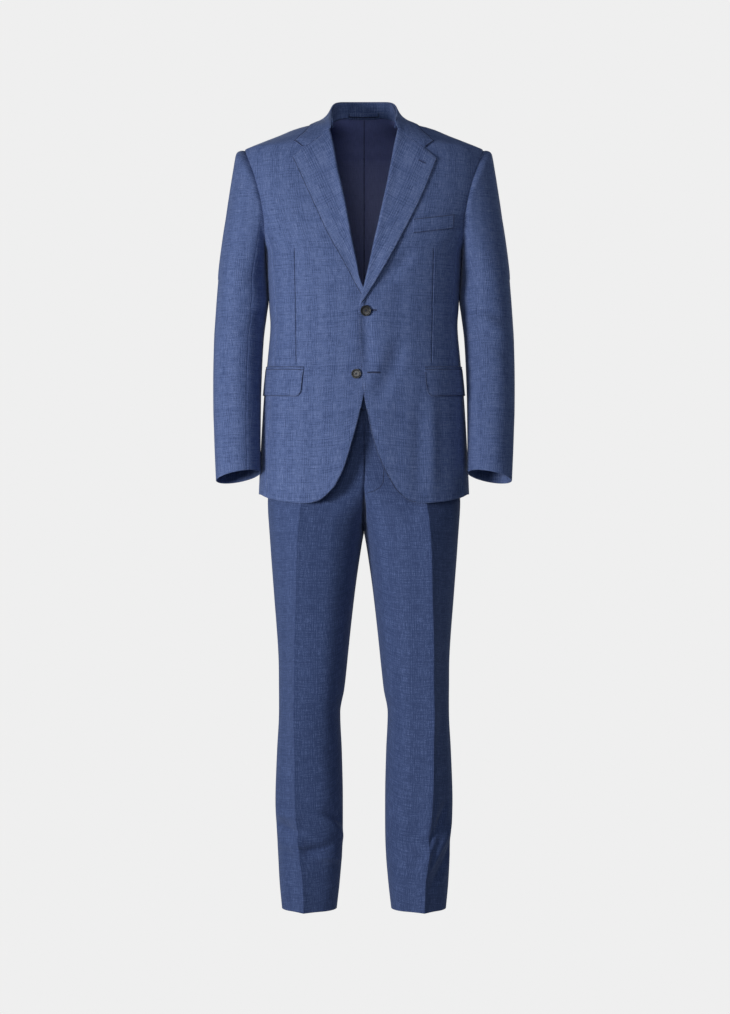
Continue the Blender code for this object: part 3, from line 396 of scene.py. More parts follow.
def dartShade(tree):
    # 1 on the stitched lines of the two front darts, 0 away from them: where the cloth takes painted shade
    (topX, topZ), (footX, footZ) = dartCut["top"], dartCut["foot"]
    add, less, times = sums(tree)
    place = node(tree, "ShaderNodeTexCoord").outputs["Object"]
    x, y, z = node(tree, "ShaderNodeSeparateXYZ", {0: place}).outputs
    lineX = add(times(less(z, topZ), (topX - footX) / (topZ - footZ)), topX)
    away = maths(tree, "ABSOLUTE", less(maths(tree, "ABSOLUTE", x), lineX))
    near = ramp(tree, away, 0.0, dartCut["shade"])
    below = ramp(tree, z, topZ - 0.012, topZ, smooth=False)
    above = maths(tree, "GREATER_THAN", z, footZ - 0.006)
    ahead = maths(tree, "LESS_THAN", y, -0.03)
    return times(times(near, below), times(above, ahead))


def wovenMaterial(name, look, check=0.0, shift=0.0):
    made, tree, shader = newMaterial(name, look["shader"])
    threads = node(tree, "ShaderNodeGroup", {
        "Grain": node(tree, "ShaderNodeUVMap", uv_map="grain").outputs[0], "Warp Slub": look["warpSlub"],
        "Weft Slub": look["weftSlub"], "Check": check, "Shift": shift}, node_tree=worsted).outputs
    return made, tree, shader, threads["Tone"], threads["Height"]


def clothMaterial(name, tone=0.0, check=1.0, darts=False, shift=0.0):
    made, tree, shader, value, height = wovenMaterial(name, clothLook, clothLook["check"] * check, shift)
    add, less, times = sums(tree)
    value = add(value, 0.5 + tone)
    if darts:
        # painted shade: the cloth is darkened along the darts' grooves
        line = dartShade(tree)
        value = less(value, times(line, clothLook["dartTone"]))
        height = less(height, times(line, clothLook["dartGroove"]))
    colours = node(tree, "ShaderNodeValToRGB", {"Fac": value})
    stops = colours.color_ramp.elements
    stops[0].position, stops[0].color = 0.08, (*clothLook["deep"], 1.0)
    stops[1].position, stops[1].color = 0.95, (*clothLook["light"], 1.0)
    stops.new(0.5).color = (*clothLook["mid"], 1.0)
    plug(tree, shader.inputs["Base Color"], colours.outputs["Color"])
    emboss(tree, shader, height, clothLook["bump"], clothLook["bumpHeight"])
    return made


def satinMaterial(name, key):
    made, tree, shader, value, height = wovenMaterial(name, satinLook)
    twoColours(tree, shader, maths(tree, "ADD", maths(tree, "MULTIPLY", value, 0.7), 0.5), *satinLook[key])
    emboss(tree, shader, height, satinLook["bump"], satinLook["bumpHeight"])
    return made


def hornMaterial(name, key):
    made, tree, shader = newMaterial(name, hornLook["shader"])
    place = node(tree, "ShaderNodeTexCoord").outputs["Object"]
    streak = node(tree, "ShaderNodeTexNoise", {"Vector": place, "Scale": 260.0, "Detail": 4.0,
                                               "Distortion": 1.4})
    twoColours(tree, shader, streak.outputs["Fac"], *hornLook[key])
    rough = ramp(tree, streak.outputs["Fac"], 0.0, 1.0, *hornLook["rough"], smooth=False)
    plug(tree, shader.inputs["Roughness"], rough)
    return made


def threadMaterial(name, colour):
    made, tree, shader = newMaterial(name, {"Roughness": 0.6})
    place = node(tree, "ShaderNodeTexCoord").outputs["Object"]
    twist = node(tree, "ShaderNodeTexNoise", {"Vector": place, "Scale": 2600.0, "Detail": 2.0})
    twoColours(tree, shader, twist.outputs["Fac"], *[[c * share for c in colour] for share in (0.6, 1.3)])
    return made


jacketCloth = clothMaterial("suitWorsted", tone=0.015, darts=True)
# painted light: the lapels' cloth is the jacket's worsted made lighter
litLapelCloth = clothMaterial("lapelWorsted", tone=0.11, check=1.5, shift=0.011)
collarCloth = clothMaterial("collarWorsted", tone=0.01, check=1.1, shift=0.023)
standCloth = clothMaterial("standWorsted", check=1.3, shift=0.005)
# painted shade: the trousers' cloth is the jacket's worsted made darker
shadedTrouserCloth = clothMaterial("trouserWorsted", tone=-0.275, check=0.85, shift=0.017)
# one satin in two copies: a lighter one with painted light, a darker one with painted shade
liningSatin, sleeveSatin = satinMaterial("liningSatin", "back"), satinMaterial("sleeveSatin", "sleeve")
darkHorn, paleHorn = hornMaterial("darkHorn", "dark"), hornMaterial("paleHorn", "pale")
threadNavy = threadMaterial("threadNavy", (0.014, 0.020, 0.055))
threadBlue = threadMaterial("threadBlue", (0.030, 0.045, 0.125))
threadPale = threadMaterial("threadPale", (0.062, 0.090, 0.215))
print("materials made")

jacketLook = {"thickness": 0.0016, "seamDepth": 0.0010, "seamWidth": 0.0022, "edgeRound": 0.35,
              "material": jacketCloth}
sleeveLook = dict(jacketLook, seamDepth=0.0004, seamWidth=0.0012)
lapelLook = dict(jacketLook, material=litLapelCloth, edgeRound=0.5)
collarLook = dict(jacketLook, thickness=0.0020, material=collarCloth, edgeRound=0.5)
standLook = dict(collarLook, material=standCloth)
flapLook = dict(jacketLook, thickness=0.0014, edgeRound=0.5)
trouserLook = dict(jacketLook, thickness=0.0014, material=shadedTrouserCloth)
satinSheet = dict(jacketLook, thickness=0.0009, seamDepth=0.0007, material=liningSatin)


# the jacket's body: rings over angle and height
jacketCut = {
    "neckSide": 0.016, "neckBack": 0.033, "shoulderTip": -0.0396, "rollTop": -0.0143, "corner": -0.676,
    "armholeHalfHeight": 0.0977, "armholeFront": 33.0, "armholeBack": 31.0,
    "seamFront": 66.0, "seamBack": 114.0, "foldRadius": 0.165, "facing": 0.075, "liningFrom": 0.03,
    # how far the over front stands off, the heights and the places across where that fades
    "overlapLift": 0.0029, "overlapFades": (-0.31, -0.28), "overlapReach": (0.030, 0.066),
    # rows of the mesh below the armhole, and where the back's lining hangs
    "frontRows": 110, "backRows": 96, "liningRise": 0.020, "liningInside": 0.0024,
    # height, half width, depth in front, depth behind, roundness of the ring
    "bodyRows": (
        (0.036, 0.0630, 0.048, 0.0815, 2.10),
        (0.028, 0.0660, 0.052, 0.0850, 2.10),
        (0.022, 0.0690, 0.056, 0.0875, 2.10),
        (0.016, 0.0760, 0.061, 0.0900, 2.12),
        (0.0070, 0.0980, 0.070, 0.0945, 2.15),
        (-0.0030, 0.1345, 0.080, 0.1000, 2.20),
        (-0.0143, 0.1615, 0.088, 0.1060, 2.20),
        (-0.0255, 0.1900, 0.094, 0.1100, 2.25),
        (-0.0355, 0.2148, 0.099, 0.1140, 2.30),
        (-0.0396, 0.2243, 0.101, 0.1160, 2.30),
        (-0.0566, 0.2295, 0.107, 0.1200, 2.35),
        (-0.0800, 0.2310, 0.113, 0.1240, 2.40),
        (-0.1157, 0.2285, 0.121, 0.1280, 2.40),
        (-0.1500, 0.2205, 0.127, 0.1300, 2.40),
        (-0.1800, 0.2105, 0.131, 0.1300, 2.40),
        (-0.2000, 0.2025, 0.132, 0.1290, 2.40),
        (-0.2200, 0.1930, 0.133, 0.1270, 2.40),
        (-0.2350, 0.1860, 0.133, 0.1250, 2.40),
        (-0.2810, 0.1820, 0.132, 0.1200, 2.35),
        (-0.3400, 0.1784, 0.126, 0.1130, 2.30),
        (-0.3680, 0.1765, 0.124, 0.1110, 2.30),
        (-0.4300, 0.1812, 0.127, 0.1170, 2.30),
        (-0.4980, 0.1880, 0.131, 0.1260, 2.30),
        (-0.5660, 0.1925, 0.134, 0.1370, 2.30),
        (-0.6420, 0.1965, 0.136, 0.1430, 2.30),
        (-0.7060, 0.1990, 0.137, 0.1460, 2.30)),
    # inner edge of the fronts: height, over front, under front, measured from the centre front
    "frontEdgeRows": (
        (0.016, 0.0660, 0.0660),
        (-0.0143, 0.0610, 0.0614),
        (-0.050, 0.0541, 0.0545),
        (-0.085, 0.0477, 0.0487),
        (-0.120, 0.0409, 0.0408),
        (-0.155, 0.0334, 0.0332),
        (-0.195, 0.0248, 0.0255),
        (-0.232, 0.0163, 0.0181),
        (-0.268, 0.0086, 0.0100),
        (-0.3065, -0.0010, 0.0020),
        (-0.3350, -0.0078, -0.0130),
        (-0.3525, -0.0095, -0.0187),
        (-0.4100, -0.0081, -0.0125),
        (-0.4600, -0.0045, -0.0055),
        (-0.5080, 0.0010, 0.0014),
        (-0.5450, 0.0082, 0.0094),
        (-0.5970, 0.0199, 0.0235),
        (-0.6430, 0.0385, 0.0380),
        (-0.6760, 0.0575, 0.0548)),
    # hem: angle round the body, height
    "hemRows": (
        (13.5, -0.6760),
        (17.5, -0.6905),
        (22.0, -0.7005),
        (30.0, -0.7042),
        (42.0, -0.7020),
        (62.0, -0.6950),
        (81.0, -0.6875),
        (110.0, -0.6880),
        (180.0, -0.6920)),
    # soft folds: angle, height, degrees from level, half length, half width, depth, skew
    "folds": (
        (28.0, -0.610, 88.0, 0.090, 0.0140, -0.0032, 0.0),
        (37.0, -0.600, 87.0, 0.090, 0.0150, 0.0030, 0.0),
        (-24.0, -0.620, 92.0, 0.080, 0.0200, -0.0018, 0.0),
        (-52.0, -0.600, 84.0, 0.075, 0.0240, 0.0016, 0.0),
        (1.0, -0.402, 92.0, 0.055, 0.0065, -0.0064, 0.0),
        (-3.0, -0.385, 90.0, 0.034, 0.0080, 0.0016, 0.0),
        (11.5, -0.470, 69.0, 0.055, 0.0150, -0.0058, 0.3),
        (5.5, -0.455, 72.0, 0.050, 0.0120, 0.0036, 0.0),
        (15.0, -0.278, 52.0, 0.042, 0.0110, -0.0048, 0.0),
        (52.0, -0.330, 20.0, 0.050, 0.0110, -0.0014, 0.3),
        (-50.0, -0.345, -16.0, 0.045, 0.0120, -0.0012, 0.3),
        (58.0, -0.190, 64.0, 0.045, 0.0110, -0.0018, 0.0),
        (-58.0, -0.195, 66.0, 0.045, 0.0120, -0.0016, 0.0),
        (150.0, -0.560, 90.0, 0.100, 0.0220, 0.0028, 0.0),
        (-146.0, -0.580, 88.0, 0.090, 0.0240, 0.0024, 0.0),
        (132.0, -0.340, 24.0, 0.050, 0.0130, -0.0018, 0.3),
        (-134.0, -0.352, -20.0, 0.052, 0.0130, -0.0018, 0.3),
        (128.0, -0.180, 70.0, 0.050, 0.0140, -0.0020, 0.0),
        (-128.0, -0.186, 72.0, 0.050, 0.0140, -0.0020, 0.0))}

bodyRing = smoothTable(jacketCut["bodyRows"])
frontEdge = smoothTable(jacketCut["frontEdgeRows"])
hemLevel = smoothTable(jacketCut["hemRows"])
armholeLevel = jacketCut["shoulderTip"] - jacketCut["armholeHalfHeight"]
seamFront, seamBack = jacketCut["seamFront"], jacketCut["seamBack"]
frontJoin = 180 - math.degrees(math.asin((90 - seamFront) / jacketCut["armholeFront"]))
backJoin = 180 + math.degrees(math.asin((seamBack - 90) / jacketCut["armholeBack"]))


def bodyPlain(angle, height):
    angle, height = np.broadcast_arrays(np.asarray(angle, dtype=float), height)
    x, y = ringXY(angle, *bodyRing(height))
    return np.stack([x, y, height], -1)


def bodyNormal(angle, height):
    return outward(bodyPlain, angle, height)


def bodyPoint(angle, height, lift=0.0):
    angle, height = np.broadcast_arrays(np.asarray(angle, dtype=float), height)
    rise = lift + foldRise(jacketCut["folds"], angle, height, jacketCut["foldRadius"])
    return bodyPlain(angle, height) + bodyNormal(angle, height) * rise[..., None]


def bodyAngle(x, height):
    halfWidth, _, _, roundness = bodyRing(height)
    share = np.minimum(np.abs(x) / halfWidth, 1.0)
    return np.copysign(np.degrees(np.arcsin(share ** (roundness / 2))), x)


def overlapLift(side, angle, height):
    # the over front stands off the under front where they cross
    x = bodyPlain(angle, height)[..., 0]
    fade = 1 - smoothStep(height, *jacketCut["overlapFades"])
    return jacketCut["overlapLift"] * fade * (1 - smoothStep(x, *jacketCut["overlapReach"])) * (side > 0)


def armhole(turn):
    # angle and height on the body: 0 at the top, 90 in front, 180 underarm
    sine, cosine = np.sin(np.radians(turn)), np.cos(np.radians(turn))
    reach = np.where(sine > 0, jacketCut["armholeFront"], jacketCut["armholeBack"])
    return 90 - reach * sine, armholeLevel + jacketCut["armholeHalfHeight"] * cosine


def bodyGrain(angles, heights, zero):
    # length round the body from one angle: the cloth's own crosswise measure
    scale = np.linspace(-20.0, 200.0, 221)
    found = np.empty(angles.shape)
    for i in range(len(angles)):
        lengths = lengthsAlong(bodyPlain(scale, heights[i].mean()), 0)
        found[i] = np.interp(angles[i], scale, lengths) - np.interp(zero, scale, lengths)
    return found


def bodyPanel(name, side, angles, heights, look, lift=0.0, grainAngle=36.0, **more):
    points = bodyPoint(angles * side, heights, lift)
    normals = bodyNormal(angles, heights)
    grain = bodyGrain(angles, heights, grainAngle)
    clothPanel(name, points, normals if side > 0 else mirrored(normals), look, grainU=grain, **more)


# lapels
lapelCut = {
    "lift": 0.0036, "roll": 0.0028, "rollWidth": 0.010, "curl": 0.0040, "curlRise": 0.030,
    "frontBehind": 1.35,
    # towards the button the lapel's belly stands off the front: height, half length, start and end across
    "belly": 0.0050, "bellyLevel": -0.272, "bellyLength": 0.045, "bellyAcross": (0.004, 0.030),
    # the lowest point of each roll, over then under; the under lapel lies closer near its foot
    "foot": (-0.332, -0.316), "underSink": 0.0024, "underFades": (-0.318, -0.295), "rollSteps": 9,
    "tight": 0.0008,
    # share of the way down, then the outer edge's place across and height, over then under
    "edgeRows": (
        (0.00, 0.1338, -0.0684, 0.1314, -0.0664),
        (0.05, 0.1296, -0.0790, 0.1275, -0.0745),
        (0.15, 0.1215, -0.1010, 0.1195, -0.0920),
        (0.35, 0.0990, -0.1540, 0.0960, -0.1450),
        (0.55, 0.0730, -0.2050, 0.0670, -0.2080),
        (0.75, 0.0425, -0.2610, 0.0350, -0.2660),
        (0.90, 0.0150, -0.3075, 0.0150, -0.3040),
        (1.00, -0.0068, -0.3420, 0.0030, -0.3255))}
lapelEdge = smoothTable(lapelCut["edgeRows"])


def curlSize(side, height):
    foot = ofSide(side, lapelCut["foot"])
    return lapelCut["curl"] * smoothStep(height, foot, foot + lapelCut["curlRise"])


def frontX(side, height):
    return ofSide(side, frontEdge(height))


def frontStart(side, height):
    # the front stops behind the roll of its lapel
    return bodyAngle(frontX(side, height) + lapelCut["frontBehind"] * curlSize(side, height), height)


def lapelSurface(side, x, height, rollX):
    cut, angle = lapelCut, bodyAngle(x, height)
    roll = cut["roll"] * np.exp(-((x - rollX) / cut["rollWidth"]) ** 2)
    belly = cut["belly"] * np.exp(-((height - cut["bellyLevel"]) / cut["bellyLength"]) ** 2)
    belly = belly * smoothStep(x - rollX, *cut["bellyAcross"])
    lift = cut["lift"] + roll + belly + overlapLift(side, angle, height)
    if side < 0:
        lift = lift - cut["underSink"] * (1 - smoothStep(height, *cut["underFades"]))
    return bodyPlain(angle, height) + bodyNormal(angle, height) * lift[..., None]


def lapelGrid(side):
    share = np.concatenate([[0.0, 0.003, 0.008], np.linspace(0.015, 1.0, 78)])[:, None]
    across = np.concatenate([np.linspace(0.0, 0.96, 30), [0.985, 1.0]])[None, :]
    found = lapelEdge(share[:, 0])
    edgeX, edgeLevel = ofSide(side, (found[:2], found[2:]))
    rollLevel = mix(jacketCut["rollTop"], ofSide(side, lapelCut["foot"]), share)
    rollX, curl = frontX(side, rollLevel), curlSize(side, rollLevel)
    height = mix(rollLevel, edgeLevel[:, None], across)
    x = mix(rollX + curl, edgeX[:, None], across)
    flat = lapelSurface(side, x, height, rollX)
    # the roll: round from the lapel's face to the inside of the front
    steps = lapelCut["rollSteps"]
    around = np.radians(np.linspace(-90.0, 90.0, steps))[None, :, None]
    normal = bodyNormal(bodyAngle(x[:, :1], height[:, :1]), height[:, :1])
    toSide = unit(flat[:, 1:2] - flat[:, :1])
    toSide = unit(toSide - normal * (toSide * normal).sum(-1, keepdims=True))
    centre = flat[:, :1] - normal * curl[..., None]
    bend = centre + curl[..., None] * (normal * np.sin(around) - toSide * np.cos(around))
    points = np.concatenate([bend[:, :-1], flat], 1)
    normals = np.concatenate([unit(bend[:, :-1] - centre), gridNormals(flat, np.array((0.0, -1.0, 0.0)))], 1)
    tight = curl[:, 0] < lapelCut["tight"]
    normals[tight, :steps - 1] = normal[tight]
    return points, normals


# collar
collarCut = {
    "leafLift": 0.0032, "clearance": 0.0035, "belly": 0.0030, "standOff": 0.0036, "cloth": 0.0022,
    "standReach": 0.93, "standTuck": 0.974, "foldRadius": 0.0017, "neckInside": 0.0033, "neckRise": 0.0010,
    # the neck seam follows the back up to the first share, and the lapel's roll from the second
    "backShare": 0.62, "rollShare": 0.74, "sideAngle": 96.0,
    # the leaf's front end lies on the lapel as far as the gorge's corner
    "gorgeCorner": (0.1094, -0.0498), "gorgeShare": 0.70,
    # share from the centre back to the front: fold x, y, z, then edge angle and height
    "rows": (
        (0.00, 0.0000, 0.0850, 0.0650, 180.0, 0.0230),
        (0.16, 0.0250, 0.0815, 0.0644, 163.0, 0.0215),
        (0.30, 0.0455, 0.0700, 0.0622, 143.0, 0.0170),
        (0.43, 0.0555, 0.0480, 0.0562, 118.0, 0.0135),
        (0.56, 0.0590, 0.0220, 0.0465, 94.0, 0.0140),
        (0.69, 0.0612, -0.0070, 0.0335, 72.0, 0.0080),
        (0.80, 0.0620, -0.0330, 0.0215, 47.0, -0.0030),
        (0.91, 0.0618, -0.0680, 0.0085, 38.3, -0.0185),
        (1.00, 0.0612, -0.0930, -0.0143, 34.1, -0.0347))}
collarLine = smoothTable(collarCut["rows"])


def neckLevel(angle):
    return mix(jacketCut["neckSide"], jacketCut["neckBack"], smoothStep(angle, 90, 150))


def bodyTop(x, y, lift):
    # the height at which the body's rings pass one place, found by halving
    low = np.full(x.shape, -0.20)
    high = neckLevel(np.degrees(np.arctan2(np.abs(x), -y)))
    for _ in range(24):
        height = (low + high) / 2
        halfWidth, front, back, roundness = bodyRing(height)
        depth = np.where(y < 0, front, back) + lift
        inside = (np.abs(x) / (halfWidth + lift)) ** roundness + (np.abs(y) / depth) ** roundness < 1
        low, high = np.where(inside, height, low), np.where(inside, high, height)
    return low + 0.6 * lift


def collarFold(station):
    x, y, z = collarLine(np.abs(station))[:3]
    return np.stack([np.copysign(x, station), y, z], -1)


def bothWays(point, share, station):
    # a point worked out for the wearer's left is put on its own side of the centre back
    point[..., 0] = np.where(share > 0, np.copysign(point[..., 0], station), 0.0)
    return point


def leafPoint(station, across):
    cut = collarCut
    station, across = np.broadcast_arrays(np.asarray(station, dtype=float), across)
    share, t = np.abs(station), across[..., None]
    angle, level = collarLine(share)[3:]
    edge = bodyPlain(angle, level) + bodyNormal(angle, level) * cut["leafLift"]
    start = collarFold(share) + np.array((0.0, 0.0, cut["cloth"]))
    # behind and beside the neck: a curve from the fold, over the seam, to the leaf's edge
    run = edge - start
    toFront = smoothStep(share, 0.75, 1.0)
    lean = np.stack([mix(0.3, 0.5, toFront), mix(0.3, 0.5, toFront), mix(0.69, 0.5, toFront)], -1)
    inside = start + run * lean
    point = mix(mix(start, inside, t), mix(inside, edge, t), t)
    # in front: on the lapel's own surface
    rollTop, rollX = jacketCut["rollTop"], frontX(1, jacketCut["rollTop"])
    toCorner = np.minimum(across / cut["gorgeShare"], 1.0)
    cornerX, cornerZ = cut["gorgeCorner"]
    bent = lapelSurface(1, mix(rollX, cornerX, toCorner), mix(rollTop, cornerZ, toCorner), rollX)
    past = np.clip((across - cut["gorgeShare"]) / (1 - cut["gorgeShare"]), 0, 1)[..., None]
    point = mix(point, mix(bent, edge, past), smoothStep(share, 0.80, 1.0)[..., None])
    # the leaf swells, stands off its stand and stays above the body
    out = unit(run * np.array((1.0, 1.0, 0.0)))
    out = unit(mix(out, np.array((0.0, 1.0, 0.0)), np.clip(1 - share / 0.3, 0, 1)[..., None]))
    swell = np.sin(np.pi * across) * (1 - smoothStep(share, 0.2, 0.6))
    standOff = (1 - np.exp(-across / 0.035)) * (1 - smoothStep(share, 0.85, 1.0)) * (1 - across)
    point = point + out * (cut["belly"] * swell + cut["standOff"] * standOff)[..., None]
    floor = bodyTop(point[..., 0], point[..., 1], cut["clearance"])
    point[..., 2] = np.where(share < 0.97, np.maximum(point[..., 2], floor), point[..., 2])
    return bothWays(point, share, station)


def neckSeam(station):
    cut, share = collarCut, np.abs(station)
    backShare, rollShare = cut["backShare"], cut["rollShare"]
    neckSide = jacketCut["neckSide"]
    angle = mix(180.0, cut["sideAngle"], np.minimum(share / backShare, 1.0))
    behind = bodyPlain(angle, neckLevel(angle)) - bodyNormal(angle, neckLevel(angle)) * cut["neckInside"]
    level = mix(neckSide, jacketCut["rollTop"], smoothStep(share, rollShare, 1.0))
    sideX = bodyPlain(cut["sideAngle"], neckSide)[0]
    x = mix(sideX, frontX(1, neckSide), smoothStep(share, backShare, rollShare))
    x = np.where(share > rollShare, frontX(1, level), x)
    ahead = np.stack([x - cut["neckInside"], collarLine(share)[1], level], -1)
    point = bothWays(np.where((share < backShare)[..., None], behind, ahead), share, station)
    return point + np.array((0.0, 0.0, cut["neckRise"]))


# sleeves
sleeveCut = {
    "fullness": 0.0108, "fullnessRound": 0.0052, "capTurn": 0.014, "wrist": -0.655, "foldRadius": 0.055,
    # the under sleeve's seams as degrees round the arm, and how far the cap tucks in behind the armhole
    "underFrom": 116.65, "underTo": 246.83, "tuck": (0.0052, 0.0034, 0.0018), "liningShort": 0.028,
    # height, inner x, outer x, front y, back y, fall to the back, fall to the outside
    "rows": (
        (-0.285, 0.1816, 0.2752, -0.0730, 0.0800, 0.00, 0.00),
        (-0.322, 0.1798, 0.2782, -0.0680, 0.0725, 0.01, 0.01),
        (-0.348, 0.1830, 0.2800, -0.0648, 0.0675, 0.03, 0.02),
        (-0.400, 0.1890, 0.2828, -0.0660, 0.0570, 0.06, 0.05),
        (-0.460, 0.1918, 0.2836, -0.0710, 0.0440, 0.10, 0.08),
        (-0.520, 0.1932, 0.2828, -0.0790, 0.0300, 0.14, 0.12),
        (-0.590, 0.1934, 0.2798, -0.0890, 0.0140, 0.18, 0.16),
        (-0.655, 0.1930, 0.2762, -0.0980, -0.0030, 0.204, 0.19)),
    "folds": (
        (95.0, -0.345, 24.0, 0.040, 0.0120, -0.0035, 0.3),
        (80.0, -0.378, 20.0, 0.045, 0.0130, 0.0030, 0.3),
        (70.0, -0.420, 26.0, 0.036, 0.0120, -0.0018, 0.3),
        (110.0, -0.300, 30.0, 0.040, 0.0120, -0.0018, 0.3),
        (60.0, -0.560, 14.0, 0.045, 0.0200, -0.0014, 0.0),
        (100.0, -0.615, -12.0, 0.040, 0.0180, 0.0012, 0.0),
        (30.0, -0.130, 70.0, 0.050, 0.0120, -0.0012, 0.0),
        (270.0, -0.350, -18.0, 0.045, 0.0140, 0.0035, 0.3),
        (258.0, -0.385, -16.0, 0.045, 0.0120, -0.0026, 0.3),
        (285.0, -0.430, -22.0, 0.045, 0.0150, 0.0020, 0.3),
        (265.0, -0.540, -12.0, 0.050, 0.0180, -0.0016, 0.0))}
sleeveSection = smoothTable(sleeveCut["rows"])
sleeveStart = max(row[0] for row in sleeveCut["rows"])


def sleeveRing(turn, level):
    # 0 degrees is the outside, 90 the front
    inner, outer, front, back, fallBack, fallOut = sleeveSection(level)
    acrossX = (outer - inner) / 2 * np.cos(np.radians(turn))
    acrossY = (front - back) / 2 * np.sin(np.radians(turn))
    return np.stack([(inner + outer) / 2 + acrossX, (front + back) / 2 + acrossY,
                     level - fallBack * acrossY - fallOut * acrossX], -1)


def sleeveCap(turn, share):
    # from the armhole's seam to the first whole ring of the arm
    seam = bodyPlain(*armhole(turn))
    whole = sleeveRing(turn, np.full(np.shape(turn), sleeveStart))
    sine, cosine = np.sin(np.radians(turn)), np.cos(np.radians(turn))
    out = unit(np.stack([np.ones_like(sine), -0.6 * sine, 0.2 * np.maximum(cosine, 0.0)], -1))
    full = sleeveCut["fullnessRound"] * smoothStep(cosine, -1.0, -0.4)
    full = full + sleeveCut["fullness"] * np.maximum(cosine, 0.0) ** 1.5
    swell = (1 - np.exp(-share / sleeveCut["capTurn"])) * (1 - share) ** 0.6
    return mix(seam, whole, share[..., None]) + out * (full * swell)[..., None]


def sleeveGrid(turns):
    shares = np.concatenate([[0.0, 0.006, 0.012, 0.020, 0.030, 0.042, 0.056], np.linspace(0.075, 0.985, 42)])
    turn = turns[None, :]
    cap = sleeveCap(np.broadcast_to(turn, (len(shares), len(turns))), shares[:, None])
    tucked = cap[:1] - bodyNormal(*armhole(turn)) * np.array(sleeveCut["tuck"])[:, None, None]
    arm = sleeveRing(turn, np.linspace(sleeveStart, sleeveCut["wrist"], 88)[:, None])
    points = np.concatenate([tucked, cap[1:], arm])
    outside = bodyNormal(90.0, -0.3) * np.sign(math.cos(math.radians(turns.mean())))
    normals = gridNormals(points, outside)
    rise = foldRise(sleeveCut["folds"], turn, points[..., 2], sleeveCut["foldRadius"])
    return points + normals * rise[..., None], normals, len(points) - len(arm)


